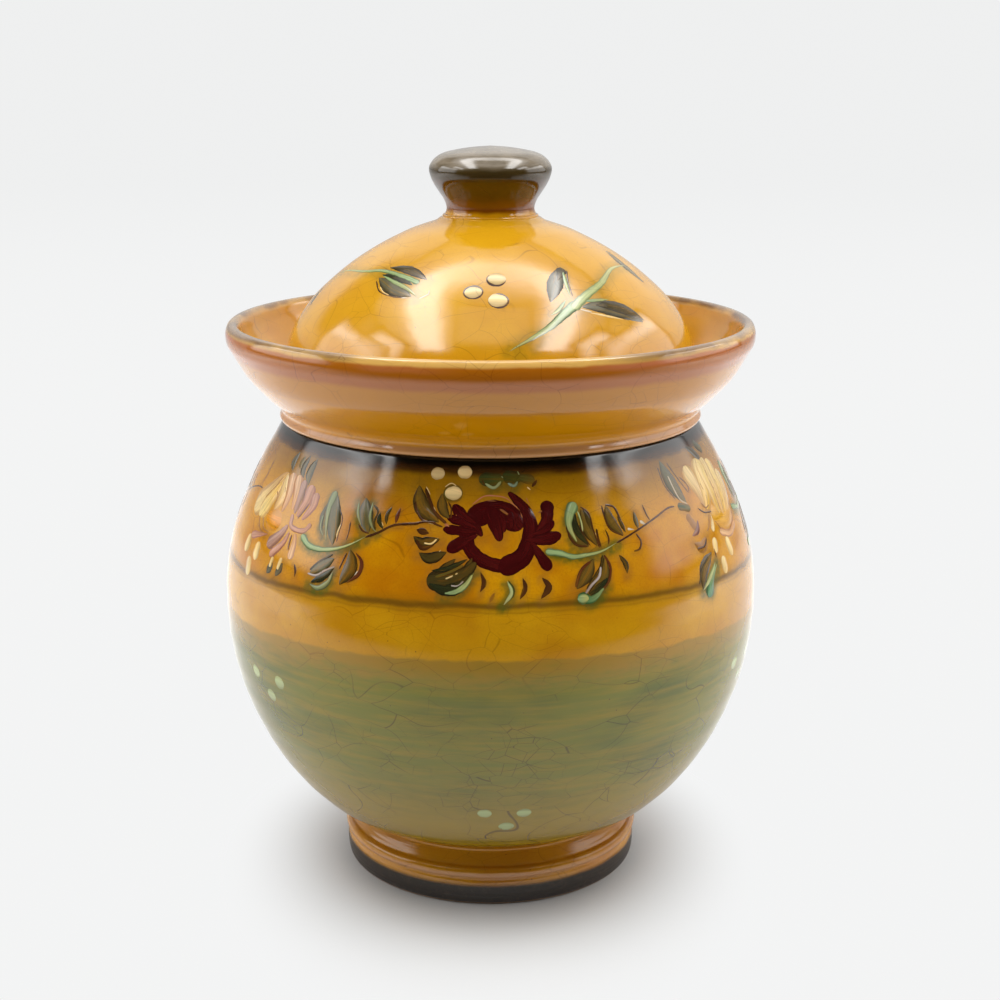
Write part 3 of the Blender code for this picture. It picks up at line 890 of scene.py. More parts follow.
PEACH_ROSE = (
    ("grey_leaf", "leaf", 2.6, (-3.5, 14.5), (-4.5, 12), (-3, 9.5)),
    ("dull_green", "leaf", 2.2, (0.5, 14), (0, 12), (1, 10.5)),
    ("grey_leaf", "leaf", 2.4, (3, 14.5), (2, 11), (4, 8.5)),
    ("grey_wash", "leaf", 3.0, (7, 14), (6, 11), (7.5, 7.5)),
    ("brown", "line", 0.4, (7, 14), (6.5, 11.5), (7.5, 7.5)),
    ("faint_brown", "line", 0.9, (-18, 9.5), (-18, 6), (-19, 3)),
    ("orange", "bar", 7.0, (-3.5, -3.5), (-2, -3.5)),
    ("faint_brown", "line", 0.6, (-11.5, -4), (-9, -7), (-4.5, -8)),
    ("faint_brown", "line", 0.4, (-8.5, -4), (-6.5, -6.5), (-3, -7)),
    ("straw", "comma", 8.5, (-14, -1), (-10.5, 2), (-7, 5.5), (-4, 8.5)),
    ("yellow", "comma", 7.0, (-10, -1.5), (-7.5, 2.5), (-5.5, 6)),
    ("straw", "leaf", 5.5, (-4.5, 8.5), (-2.5, 3.5), (-4, -1)),
    ("faint_brown", "line", 0.5, (-12, 0.5), (-8.5, 4), (-6, 7.5)),
    ("faint_brown", "line", 0.5, (-6.5, 3.5), (-4.5, 2), (-5, 0)),
    ("faint_brown", "line", 0.4, (-4.5, 6.5), (-2, 4.5), (-1.5, 1.5)),
    ("peach", "comma", 4.2, (-1, 7.5), (0.5, 3.5), (0, -1)),
    ("peach", "comma", 3.8, (2.5, 7.5), (4, 4.5), (4.5, 0.5)),
    ("pale_mauve", "comma", 3.4, (5.5, 7), (6, 4.5), (6, 0)),
    ("pink", "comma", 4.4, (9.5, 6), (9.5, 4), (7.5, -0.5)),
    ("pink", "comma", 3.2, (12.5, 5), (12.5, 3), (10, -1)),
    ("mauve", "line", 0.45, (6.5, 7), (7.5, 3.5), (7, 0.5)),
    ("mauve", "line", 0.45, (11, 3.5), (9.5, 1), (8, -1)),
    ("pink", "bar", 1.6, (5.5, -1), (6, -3), (9, -4), (12, -3.5), (13.5, -2)),
    ("pale_mauve", "comma", 3.8, (-0.5, -9), (2.5, -6.5), (5, -3.5)),
    ("pink", "comma", 2.8, (1.5, -11.5), (5, -8), (6.5, -5)),
    ("peach", "comma", 2.8, (9.5, -10), (9.5, -7), (9, -5)),
    ("mauve", "line", 0.5, (7.5, -5.5), (7.5, -8), (8, -9.5)),
    ("pink", "drop", 2.4, (-11, -9.5), (-7, -8.5), (-3, -7.5)),
    ("cream", "bar", 3.6, (-13, -13), (-13, -11.5)),
    ("cream", "bar", 3.6, (-6.5, -13.5), (-6.5, -12)),
    ("cream", "bar", 3.6, (-9.5, -18.5), (-9.5, -17)),
    ("grey_leaf", "leaf", 2.6, (1, -17), (3, -14)),
    ("grey_leaf", "leaf", 2.8, (5, -17), (7, -13)),
    ("cream", "bar", 1.2, (2, -14.5), (2.5, -13)),
    ("cream", "bar", 1.4, (5.5, -14.5), (6, -12.5)),
    ("brown", "leaf", 0.9, (11.5, -12), (12.5, -13.5), (12.5, -15.5)),
)

# On the lid the places are (x, y) seen from above, and the whole is painted twice, half a turn apart.
LID_SPRAYS = (
    ("dark_leaf", "leaf", 3.4, (-27.5, -26), (-22.5, -30.5), (-17, -37)),
    ("grey_leaf", "leaf", 4.6, (-30.5, -28), (-26, -35.5), (-21, -40.5)),
    ("black_green", "leaf", 2.4, (-29.5, -27.5), (-25, -32.5), (-21, -37)),
    ("brown", "line", 0.4, (-31, -29), (-30, -33.5), (-26, -38), (-22, -40.5)),
    ("cream", "line", 0.35, (-30, -32), (-29, -34.5), (-27, -37)),
    ("white", "line", 0.5, (-24, -39.5), (-22, -40.5)),
    ("celadon", "drop", 1.9, (-20, -36.5), (-25, -31), (-29.5, -26), (-35.5, -19.5), (-44, -3)),
    ("celadon", "leaf", 1.5, (-29.5, -28), (-26, -33), (-22.5, -37.5), (-19.5, -41.5)),
    ("white", "line", 0.5, (-19, -42), (-16.5, -41.5), (-16.5, -40.5)),
    ("grey_leaf", "leaf", 3.0, (-48, -3.5), (-50, -6.5), (-51.5, -10)),
    ("grey_leaf", "leaf", 5.0, (19, -31.5), (17.5, -38), (16, -44)),
    ("dark_leaf", "drop", 3.0, (19, -33), (18, -37)),
    ("grey_leaf", "leaf", 6.0, (24.5, -42), (31.5, -38), (41.5, -33.5)),
    ("dark_leaf", "leaf", 4.6, (28, -39.5), (34, -36), (42, -32.5)),
    ("cream", "leaf", 0.8, (26.5, -42.5), (31, -40.5), (36, -38)),
    ("white", "line", 0.6, (24, -43), (27, -42)),
    ("grey_wash", "leaf", 4.2, (32.5, -8.5), (37, -12), (43, -14)),
    ("dark_leaf", "line", 0.5, (33, -7.5), (38, -10.5), (43.5, -13.5)),
    ("celadon", "leaf", 1.3, (19.5, -32.5), (20.5, -37), (21.5, -40.5)),
    ("brown", "line", 0.4, (20.5, -32), (21, -36), (22, -40)),
    ("celadon", "leaf", 1.2, (24.5, -40.5), (28, -38), (32, -35)),
    ("celadon", "drop", 3.0, (22.5, -42.5), (19, -46.5), (15.5, -50), (10.5, -53.5), (5, -56)),
    ("celadon", "leaf", 1.2, (20, -42), (18, -45.5), (16, -47.5)),
    ("pale_celadon", "drop", 3.0, (22.5, -42.5), (26, -37.5), (30, -30.5), (33.5, -20.5), (38, -11.5)),
    ("brown", "bar", 5.5, (1.5, -40)),
    ("brown", "bar", 5.3, (-4.5, -43.5)),
    ("brown", "bar", 5.4, (2, -46)),
    ("dot_cream", "bar", 5.0, (1.5, -40)),
    ("dot_cream", "bar", 4.8, (-4.5, -43.5)),
    ("dot_cream", "bar", 4.9, (2, -46)),
)


def moved(strokes, right, up):
    """The strokes moved by so many mm."""
    return tuple((*stroke[:3], *((x + right, y + up) for x, y in stroke[3:])) for stroke in strokes)


# Each flower with the spray that grows from it to the right.
BURGUNDY_FLOWER = BURGUNDY_ROSE + LEAVES_LEFT_OF_ROSE + moved(LONG_SPRAY, 12, -4)
YELLOW_FLOWER = YELLOW_ROSE + moved(LONG_SPRAY, 17, -4.5)
PEACH_FLOWER = PEACH_ROSE + moved(BROAD_SPRAY, 11.5, -5.5)

# The flowers of the garland, as (degrees round the jar, strokes), and the height of their middles.
GARLAND_HEIGHT = 118.0
GARLAND = (
    (-54.0, PEACH_FLOWER),
    (2.0, BURGUNDY_FLOWER),
    (58.5, YELLOW_FLOWER),
    (120.5, PEACH_FLOWER),
    (182.0, BURGUNDY_FLOWER),
    (244.0, YELLOW_FLOWER),
)

# Three pale dots at a time in the green band, as (degrees round the jar, height).
DOT_TRIOS = ((-53.0, 69.5), (68.0, 69.5), (187.0, 69.5), (3.5, 37.0), (127.0, 37.0), (243.0, 37.0))
DOT_TRIO = (
    ("dot_green", "bar", 4.0, (-6, 1.5)),
    ("dot_green", "bar", 4.0, (5.5, 1.5)),
    ("dot_green", "bar", 4.2, (0.5, -4)),
)


def set_attribute(mesh, name, values):
    layer = mesh.attributes.new(name, "FLOAT", "POINT")
    layer.data.foreach_set("value", np.asarray(values, np.float32))


def mesh_points(mesh):
    """The mesh's vertices in mm, one row each."""
    flat = np.zeros(len(mesh.vertices) * 3, np.float32)
    mesh.vertices.foreach_get("co", flat)
    return flat.reshape(-1, 3).astype(float) / MM


def band_sway(angle):
    """How far the painted bands dip below level round the jar: hand-painted lines aren't true."""
    aside = np.abs(angle)
    front = 5.4 * (1.0 - np.cos(angle)) * smooth_step(1.9, 0.9, aside)
    back = 1.6 * np.sin(angle * 2.0 + 0.4) * smooth_step(0.9, 1.9, aside)
    return front + back + 2.4 * smooth_step(0.9, 2.2, aside)


class Paint(NamedTuple):
    """How a paint looks: its colour where a stroke starts, where it ends and along its edges, how well it
    covers at its start and end, and how much of that is missing at its edges."""

    family: str
    body: tuple
    tail: tuple
    edge: tuple
    cover: float = 1.0
    tail_cover: float = 1.0
    feather: float = 0.0


PAINTS = {
    "burgundy": Paint("burgundy", (0.047, 0.0028, 0.0028), (0.062, 0.005, 0.004), (0.036, 0.002, 0.002),
                      2.9, 2.6),
    # Plum lines that are partly painted glints of reflection in the glaze.
    "plum": Paint("lines", (0.15, 0.045, 0.040), (0.15, 0.045, 0.040), (0.10, 0.02, 0.015), 0.8, 0.6),
    "rose_line": Paint("lines", (0.42, 0.15, 0.07), (0.42, 0.15, 0.07), (0.30, 0.08, 0.03), 1.1, 0.8),
    "cream": Paint("slip", (0.80, 0.60, 0.26), (0.72, 0.48, 0.17), (0.50, 0.28, 0.07), 1.8, 1.4),
    "dot_cream": Paint("slip", (0.76, 0.56, 0.25), (0.74, 0.54, 0.24), (0.50, 0.32, 0.11), 2.2, 2.2),
    "white": Paint("slip", (0.62, 0.52, 0.38), (0.50, 0.40, 0.25), (0.40, 0.28, 0.14), 1.4, 0.9),
    "lilac": Paint("slip", (0.43, 0.36, 0.32), (0.36, 0.28, 0.22), (0.22, 0.15, 0.09), 1.4, 1.0),
    "dot_green": Paint("slip", (0.40, 0.46, 0.20), (0.40, 0.46, 0.20), (0.27, 0.29, 0.09), 1.6, 1.6),
    "celadon": Paint("celadon", (0.26, 0.35, 0.15), (0.40, 0.38, 0.12), (0.045, 0.075, 0.015), 1.9, 1.6),
    "pale_celadon": Paint("celadon", (0.37, 0.41, 0.17), (0.45, 0.41, 0.16), (0.10, 0.13, 0.03), 1.8, 1.5),
    "dull_celadon": Paint("celadon", (0.22, 0.26, 0.12), (0.27, 0.25, 0.10), (0.05, 0.06, 0.018), 1.6, 1.4),
    "pale_green": Paint("celadon", (0.32, 0.37, 0.16), (0.28, 0.28, 0.10), (0.09, 0.11, 0.03), 1.6, 1.4),
    "sea_green": Paint("celadon", (0.20, 0.26, 0.17), (0.16, 0.20, 0.10), (0.05, 0.07, 0.025), 1.6, 1.4),
    "emerald": Paint("celadon", (0.07, 0.18, 0.07), (0.26, 0.31, 0.11), (0.025, 0.065, 0.015), 1.9, 1.7),
    "moss": Paint("leaves", (0.040, 0.052, 0.010), (0.06, 0.065, 0.010), (0.025, 0.025, 0.006),
                  1.2, 0.9, 0.3),
    "dull_green": Paint("leaves", (0.10, 0.11, 0.035), (0.12, 0.10, 0.02), (0.06, 0.055, 0.012),
                        1.0, 0.8, 0.5),
    "olive": Paint("leaves", (0.08, 0.07, 0.013), (0.10, 0.07, 0.01), (0.04, 0.032, 0.006), 1.1, 0.9, 0.4),
    "black_green": Paint("leaves", (0.020, 0.023, 0.008), (0.035, 0.030, 0.007), (0.017, 0.013, 0.004),
                         1.5, 1.2),
    "dark_leaf": Paint("leaves", (0.048, 0.034, 0.008), (0.075, 0.045, 0.008), (0.020, 0.011, 0.003),
                       1.3, 1.15, -0.4),
    "grey_leaf": Paint("leaves", (0.095, 0.085, 0.045), (0.085, 0.068, 0.026), (0.028, 0.020, 0.007),
                       1.15, 1.1, -0.4),
    "olive_wash": Paint("washes", (0.105, 0.066, 0.012), (0.090, 0.055, 0.010), (0.030, 0.016, 0.004),
                        0.88, 0.9, -0.8),
    "grey_wash": Paint("washes", (0.100, 0.094, 0.045), (0.09, 0.08, 0.03), (0.034, 0.026, 0.008),
                       1.0, 0.9, -0.5),
    "brown": Paint("lines", (0.055, 0.019, 0.005), (0.085, 0.030, 0.006), (0.045, 0.015, 0.004), 1.5, 1.2),
    "faint_brown": Paint("lines", (0.20, 0.078, 0.012), (0.23, 0.09, 0.012), (0.18, 0.07, 0.01),
                         0.95, 0.8, 0.3),
    "red_brown": Paint("lines", (0.10, 0.024, 0.008), (0.11, 0.032, 0.009), (0.07, 0.018, 0.006), 1.4, 1.2),
    "yellow": Paint("petals", (0.76, 0.55, 0.19), (0.66, 0.38, 0.06), (0.42, 0.21, 0.03), 1.7, 1.3),
    "straw": Paint("petals", (0.70, 0.50, 0.20), (0.62, 0.35, 0.09), (0.40, 0.19, 0.035), 1.6, 1.2),
    "peach": Paint("petals", (0.62, 0.36, 0.17), (0.55, 0.25, 0.07), (0.32, 0.12, 0.03), 1.5, 1.2),
    "pink": Paint("petals", (0.48, 0.24, 0.15), (0.42, 0.17, 0.08), (0.24, 0.08, 0.04), 1.5, 1.2),
    "mauve": Paint("petals", (0.19, 0.085, 0.07), (0.24, 0.10, 0.05), (0.12, 0.045, 0.03), 1.4, 1.1),
    "pale_mauve": Paint("petals", (0.36, 0.20, 0.14), (0.34, 0.16, 0.09), (0.19, 0.08, 0.045), 1.5, 1.2),
    "orange": Paint("petals", (0.66, 0.25, 0.006), (0.60, 0.21, 0.004), (0.42, 0.14, 0.004), 0.9, 0.9, 0.8),
    "amber_petal": Paint("petals", (0.66, 0.34, 0.02), (0.60, 0.29, 0.01), (0.50, 0.22, 0.01),
                         0.8, 0.8, 0.7),
}

# A stroke's cross-section: places across it, from edge to edge, and the share of its crown there. In mm,
# it rises by its crown and by so much a layer, less where it reaches less far than FULL_RISE to each side,
# and its edges lie below the glaze.
ACROSS = np.array([-1.0, -0.8, -0.45, 0.0, 0.45, 0.8, 1.0])
CROWN_SHARE = np.array([0.0, 0.5, 0.85, 1.0, 0.85, 0.5, 0.0])
CROWN = 0.016
LAYER_RISE = 0.013
FULL_RISE = 0.25
EDGE_DEPTH = 0.008
# How far a stroke's shading leans outward at its edges, and how fast drops and commas narrow.
EDGE_LEAN = 0.14
TAPER = {"drop": 0.8, "comma": 0.4}
# How full leaves and petals are, how far petals are drawn to their start, and how long a line's ends are
# in mm.
LEAF_FULLNESS = 0.85
PETAL_SKEW = 0.62
LINE_END = 0.8
# A stroke has so many rows, and one more for each of these lengths in mm.
FEWEST_ROWS = 10
ROW_STEP = 0.6
# A stroke's line has points this far apart, and these where it is only compared with other places.
LINE_STEP = 0.4
COARSE_STEP = 0.8
# A dot is a very short stroke: half its length in mm.
DOT_HALF = 0.01
# How unsteady a stroke's width is: a share of it, or a length in mm where the stroke is broad.
UNSTEADY_SHARE = 0.07
UNSTEADY_WIDTH = 0.13
# Where a stroke's edge colour starts and how soon and how far it takes over, across half the stroke.
EDGE_START = 0.45
EDGE_SPAN = 0.35
EDGE_STRENGTH = 0.8
# How far the hand strays from a stroke's places in mm, and from its width.
HAND_STRAY = 0.15
HAND_WIDTH = 0.05
HAND_SEED = 7
# The share of a tile of the texture that is left free round a stroke.
TILE_MARGIN = 0.06
# The thick slip shows only so much of the brush's hairs, and each stroke's hairs are moved by this.
SLIP_HAIRS = 0.15
STROKE_SHIFT = 3.7


def side_surface(outline, top_row):
    """The function that turns places (u, height) on the jar's side into points, in mm."""
    heights, radii = side_table(outline, top_row)

    def points_at(places):
        around, height = places[:, 0] / GIRTH_RADIUS, places[:, 1]
        radius = np.interp(height, heights, radii) + hand_wobble(around - math.pi / 2, height)
        return np.stack([radius * np.sin(around), -radius * np.cos(around), height], axis=1)

    return points_at


def lid_surface(outline):
    """The function that turns places (x, y) on the lid, seen from above, into points, in mm."""
    top = outline[np.argmax(outline[:, 0]) :][::-1]

    def points_at(places):
        reach = np.hypot(places[:, 0], places[:, 1])
        angle = np.arctan2(places[:, 1], places[:, 0])
        height = np.interp(reach, top[:, 0], top[:, 1])
        height = np.interp(reach - hand_wobble(angle, height), top[:, 0], top[:, 1])
        return np.stack([places[:, 0], places[:, 1], height], axis=1)

    return points_at


def surface_axes(surface, places):
    """How a point on the surface moves with each coordinate of its place, and the outward normal."""
    step = 0.05
    moves = []
    for shift in ((step, 0.0), (0.0, step)):
        moves.append((surface(places + shift) - surface(places - shift)) / (2 * step))
    normal = np.cross(*moves)
    return (*moves, normal / np.linalg.norm(normal, axis=1)[:, None])


def round_end(distance, half):
    """The share of a stroke's width at a distance from its round end."""
    return np.sqrt(1.0 - (1.0 - np.clip(distance / half, 0.0, 1.0)) ** 2)


def half_widths(shape, along, half):
    """A stroke's half width at distances along it."""
    length = along[-1]
    left = length - along
    if shape in ("leaf", "petal"):
        skew = PETAL_SKEW if shape == "petal" else 1.0
        return half * np.sin(np.pi * (along / length) ** skew) ** LEAF_FULLNESS
    if shape == "line":
        return half * np.sqrt(np.clip(np.minimum(along, left) / LINE_END, 0.0, 1.0))
    if shape in TAPER:
        taper = np.clip(left / max(length - half, 0.01), 0.0, 1.0) ** TAPER[shape]
        return half * round_end(along, half) * taper
    return half * round_end(along, half) * round_end(left, half)


def stroke_line(surface, shape, half, knots):
    """A stroke's middle line as places with their distances along it. Round ends reach past the knots."""
    if len(knots) == 1:
        x, y = knots[0]
        knots = [(x - DOT_HALF, y), (x + DOT_HALF, y)]
    line = smooth_through(knots, LINE_STEP)
    for end, wanted in ((0, shape in ("drop", "comma", "bar")), (-1, shape == "bar")):
        if not wanted:
            continue
        inner = line[1] if end == 0 else line[-2]
        outer = line[end]
        reach = math.dist(*surface(np.array([inner, outer])))
        extra = outer + (outer - inner) * half / reach
        line = np.vstack([extra, line]) if end == 0 else np.vstack([line, extra])
    steps = np.linalg.norm(np.diff(surface(line), axis=0), axis=1)
    return line, np.concatenate([[0.0], np.cumsum(steps)])


def dots(one, other):
    """The dot product of each pair of rows."""
    return (one * other).sum(1)


def stroke_grid(surface, shape, width, knots, layer, number):
    """A stroke's points and places in rows across it, each row's share of the way along, the normals
    and the places along and across the brush mark."""
    half = width / 2
    line, distance = stroke_line(surface, shape, half, knots)
    count = int(FEWEST_ROWS + distance[-1] / ROW_STEP)
    along = distance[-1] * (1.0 - np.cos(np.pi * np.arange(count) / (count - 1))) / 2
    middle = np.stack([np.interp(along, distance, line[:, axis]) for axis in (0, 1)], axis=1)
    right, up, normal = surface_axes(surface, middle)
    heading = np.gradient(middle, axis=0)
    heading = right * heading[:, :1] + up * heading[:, 1:]
    sideways = np.cross(normal, heading)
    sideways /= np.linalg.norm(sideways, axis=1)[:, None]
    # How far the place moves for each mm sideways on the surface.
    matrix = [np.stack([dots(one, other) for other in (right, up)], axis=1) for one in (right, up)]
    wanted = np.stack([dots(one, sideways) for one in (right, up)], axis=1)
    offset = np.linalg.solve(np.stack(matrix, axis=1), wanted[..., None])[..., 0]
    # The hand's unsteadiness: the width swells and shrinks a little along the stroke.
    unsteady = min(UNSTEADY_SHARE, UNSTEADY_WIDTH / width)
    hand = 1.0 + unsteady * (np.sin(along * 1.9 + number) + 0.5 * np.sin(along * 4.3 + 2.0 * number))
    reach = half_widths(shape, along, half) * hand
    places = middle[:, None] + offset[:, None] * (reach[:, None] * ACROSS)[..., None]
    flat = places.reshape(-1, 2)
    lift = (LAYER_RISE * layer + CROWN * CROWN_SHARE) * np.clip(reach / FULL_RISE, 0.0, 1.0)[:, None]
    lift[:, (0, -1)] = -EDGE_DEPTH
    lift[(0, -1), :] = -EDGE_DEPTH
    ground = surface_axes(surface, flat)[2]
    points = surface(flat) + ground * lift.reshape(-1, 1)
    lean = (sideways[:, None] * (ACROSS * EDGE_LEAN)[:, None]).reshape(-1, 3)
    mark = np.broadcast_arrays(along[:, None], reach[:, None] * ACROSS, number * STROKE_SHIFT)
    return points, flat, along / distance[-1], ground + lean, np.stack(mark, axis=2).reshape(-1, 3)


def stroke_colours(paint, share):
    """The colour of each point of a stroke, row by row; the fourth number is how well it covers."""
    share = smooth_step(0.1, 1.0, share)[:, None]
    middle = between(np.array(paint.body), np.array(paint.tail), share)
    edge_share = np.clip((np.abs(ACROSS) - EDGE_START) / EDGE_SPAN, 0.0, 1.0)[None, :, None] * EDGE_STRENGTH
    colour = between(middle[:, None], np.array(paint.edge), edge_share)
    cover = between(paint.cover, paint.tail_cover, share) * (1.0 - paint.feather * np.abs(ACROSS) ** 2)
    return np.concatenate([colour, np.maximum(cover, 0.0)[..., None]], axis=2).reshape(-1, 4)


def coarse_line(knots):
    return smooth_through(knots, COARSE_STEP) if len(knots) > 1 else np.array(knots, float)


def layers_of(strokes):
    """For each stroke, how many strokes lie under it where it is highest."""
    lines = [(coarse_line(knots), width / 2) for _, _, width, *knots in strokes]
    layers = []
    for number, (line, half) in enumerate(lines):
        layer = 1
        for other, (below, below_half) in enumerate(lines[:number]):
            gap = np.linalg.norm(line[:, None] - below[None], axis=2).min()
            if gap < half + below_half:
                layer = max(layer, layers[other] + 1)
        layers.append(layer)
    return layers


class Painting:
    """Collects strokes on one surface and makes a piece of each family of paints."""

    def __init__(self, surface, prefix, body):
        self.surface = surface
        self.prefix = prefix
        self.body = body
        self.grids = {}
        self.count = 0

    def add(self, strokes, put):
        """Paints the strokes. put turns a place in the motif into a place on the surface."""
        chance = random.Random(HAND_SEED + self.count)
        for stroke, layer in zip(strokes, layers_of(strokes)):
            name, shape, width, *knots = stroke
            stray = [[chance.uniform(-HAND_STRAY, HAND_STRAY) for _ in range(2)] for _ in knots]
            knots = [put(x + right, y + up) for (x, y), (right, up) in zip(knots, stray)]
            width *= chance.uniform(1.0 - HAND_WIDTH, 1.0 + HAND_WIDTH)
            self.count += 1
            points, places, share, normals, brush = stroke_grid(
                self.surface, shape, width, knots, layer, self.count)
            if PAINTS[name].family == "slip":
                brush[:, :2] *= SLIP_HAIRS
            colours = stroke_colours(PAINTS[name], share)
            family = self.grids.setdefault(PAINTS[name].family, [])
            family.append((points, places, colours, share, normals, brush))

    def finish(self, material, attributes):
        """Makes the pieces. attributes gives the ground's attributes at places."""
        for family, grids in self.grids.items():
            self.piece(f"{self.prefix}_{family}", grids, material, attributes)

    def piece(self, name, grids, material, attributes):
        """One mesh of all the strokes of a family, each with a tile of the texture to itself."""
        columns = len(ACROSS)
        tiles = math.ceil(math.sqrt(len(grids)))
        faces = []
        uvs = []
        start = 0
        for number, (points, _, _, share, *_) in enumerate(grids):
            rows = len(share)
            tile = np.array([number % tiles, number // tiles])
            corner = start + np.arange(rows - 1)[:, None] * columns + np.arange(columns - 1)
            quads = np.stack([corner, corner + columns, corner + columns + 1, corner + 1], axis=2)
            faces.append(quads.reshape(-1, 4))
            across = (ACROSS + 1.0) / 2
            spot = np.stack(np.broadcast_arrays(share[:, None], across[None]), axis=2).reshape(-1, 2)
            uvs.append((tile + between(TILE_MARGIN, 1.0 - TILE_MARGIN, spot)) / tiles)
            start += len(points)
        points, places, colours, _, normals, brush = map(np.concatenate, zip(*grids))
        faces = np.vstack(faces)
        mesh = bpy.data.meshes.new(name)
        mesh.from_pydata((points * MM).tolist(), [], faces.tolist())
        layer = mesh.uv_layers.new(name=BAKE_UV)
        layer.data.foreach_set("uv", np.vstack(uvs)[faces.ravel()].astype(np.float32).ravel())
        paint = mesh.color_attributes.new(name="paint", type="FLOAT_COLOR", domain="POINT")
        paint.data.foreach_set("color", colours.astype(np.float32).ravel())
        marks = mesh.attributes.new("brush", "FLOAT_VECTOR", "POINT")
        marks.data.foreach_set("vector", brush.astype(np.float32).ravel())
        for attribute, values in attributes(places).items():
            set_attribute(mesh, attribute, values)
        mesh.shade_smooth()
        mesh.normals_split_custom_set_from_vertices(normals.tolist())
        add_piece(name, mesh, material, self.body, "amber_glaze")


# The glaze is stained round a stroke: each family's kind of stain, its strength and how far it reaches in mm.
STAINS = {
    "celadon": ("green", 0.85, 1.6),
    "leaves": ("dark", 0.42, 1.2),
    "washes": ("dark", 0.35, 1.3),
    "lines": ("dark", 0.38, 0.8),
    "burgundy": ("dark", 0.25, 1.0),
}
# Stains run down by this much, in mm, and are weaker on the lid.
STAIN_SAG = 0.5
LID_STAIN_SHARE = 0.4


def stain_at(places, kind, strokes):
    """How strongly a kind of stain shows at places in the motif that the strokes paint."""
    shown = np.zeros(len(places))
    for name, _, width, *knots in strokes:
        stain_kind, strength, spread = STAINS.get(PAINTS[name].family, ("", 0.0, 0.0))
        if stain_kind != kind:
            continue
        line = coarse_line(knots) - (0.0, STAIN_SAG)
        reach = width / 2 + spread
        low, high = line.min(axis=0) - reach, line.max(axis=0) + reach
        near = np.all((places > low) & (places < high), axis=1)
        if not near.any():
            continue
        away = np.linalg.norm(places[near][:, None] - line[None], axis=2).min(axis=1)
        shown[near] = np.maximum(shown[near], strength * smooth_step(reach, 0.3 * reach, away))
    return shown


def girth_place(degrees):
    """The place u of an angle round the jar."""
    return math.radians(degrees) * GIRTH_RADIUS


def side_attributes(places):
    """The painted ground at places on the jar's side: its bands and its stains."""
    girth = math.tau * GIRTH_RADIUS
    found = {"green_stain": np.zeros(len(places)), "dark_stain": np.zeros(len(places))}
    for degrees, strokes in GARLAND:
        across = (places[:, 0] - girth_place(degrees) + girth / 2) % girth - girth / 2
        motif = np.stack([across, places[:, 1] - GARLAND_HEIGHT], axis=1)
        for key in found:
            found[key] = np.maximum(found[key], stain_at(motif, key.removesuffix("_stain"), strokes))
    found["paint_height"] = places[:, 1] + band_sway(wrapped(places[:, 0] / GIRTH_RADIUS))
    return found


def wrapped(angle):
    """The angle brought to between minus and plus half a turn."""
    return (angle + math.pi) % math.tau - math.pi


def lid_attributes(places):
    """The stains at places on the lid, which is painted twice, half a turn apart."""
    found = {}
    for kind in ("green", "dark"):
        both = [stain_at(turn * places, kind, LID_SPRAYS) for turn in (1.0, -1.0)]
        found[f"{kind}_stain"] = LID_STAIN_SHARE * np.maximum(*both)
    return found


def paint_garland(outline, top_row):
    painting = Painting(side_surface(outline, top_row), "garland", "jar")
    motifs = [(strokes, degrees, GARLAND_HEIGHT) for degrees, strokes in GARLAND]
    motifs += [(DOT_TRIO, degrees, height) for degrees, height in DOT_TRIOS]
    for strokes, degrees, height in motifs:
        middle = girth_place(degrees)
        painting.add(strokes, lambda x, y, middle=middle, height=height: (middle + x, height + y))
    painting.finish(painted_material("garland_glaze", bowl_ground), side_attributes)


def paint_lid(outline):
    painting = Painting(lid_surface(outline), "lid_spray", "lid")
    for turn in (1.0, -1.0):
        painting.add(LID_SPRAYS, lambda x, y, turn=turn: (turn * x, turn * y))
    painting.finish(painted_material("lid_spray_glaze", lid_ground), lid_attributes)


# The bowl, in mm: the height where its painted side starts, the top of its floor, how far its inner wall
# is from the outer one at least, and the heights between which the bare underside fades out.
SIDE_START = 16.0
FLOOR_TOP = 18.0
INNER_WALL = 2.2
UNDERSIDE_FADE = (15.6, 14.6)
# The inside and the underside take this share of the texture that the painted outside takes.
PLAIN_UV_SHARE = 0.3
# The fillets of glaze, in mm: the middle of the section as (radius, height), and the section's radius.
KNOB_FILLET = ((13.3, 194.2), 0.5)
FOOT_FILLET = ((40.9, 16.2), 0.8)
FILLET_SIDES = 12
FILLET_SEGMENTS = 192
# The middle of the neck's wall, as heights and radii, tells the inside of the neck from the outside.
NECK_MIDDLE = ((136.5, 143.0, 146.0, 150.0, 158.0, 165.0), (58.4, 59.5, 63.5, 68.0, 73.2, 74.2))


def turned_node(name, node):
    """A CAD node's shape turned anew, more finely."""
    return turned_mesh(name, *fine_outline(node), SEGMENTS[node])


def bowl_piece():
    outline, is_ring = fine_outline("jar_bowl")
    top_row = int(np.argmax(outline[:, 1]))

    def uv_weight(rows):
        weights = np.ones(len(rows))
        weights[top_row + 3 :] = PLAIN_UV_SHARE
        weights[rows[:, 1] < SIDE_START] = PLAIN_UV_SHARE
        return weights

    mesh = turned_mesh("bowl_body", outline, is_ring, SEGMENTS["jar_bowl"], uv_weight)
    points = mesh_points(mesh)
    radius = np.hypot(points[:, 0], points[:, 1])
    wall = np.interp(points[:, 2], *side_table(outline, top_row))
    set_attribute(mesh, "inside", (radius < wall - INNER_WALL) & (points[:, 2] > FLOOR_TOP))
    set_attribute(mesh, "underside", smooth_step(*UNDERSIDE_FADE, points[:, 2]))
    angle = np.arctan2(points[:, 0], -points[:, 1])
    places = np.stack([angle * GIRTH_RADIUS, points[:, 2]], axis=1)
    for name, values in side_attributes(places).items():
        set_attribute(mesh, name, values)
    add_piece("bowl_body", mesh, bowl_material(), "jar", "amber_glaze", "jar_bowl")
    paint_garland(outline, top_row)


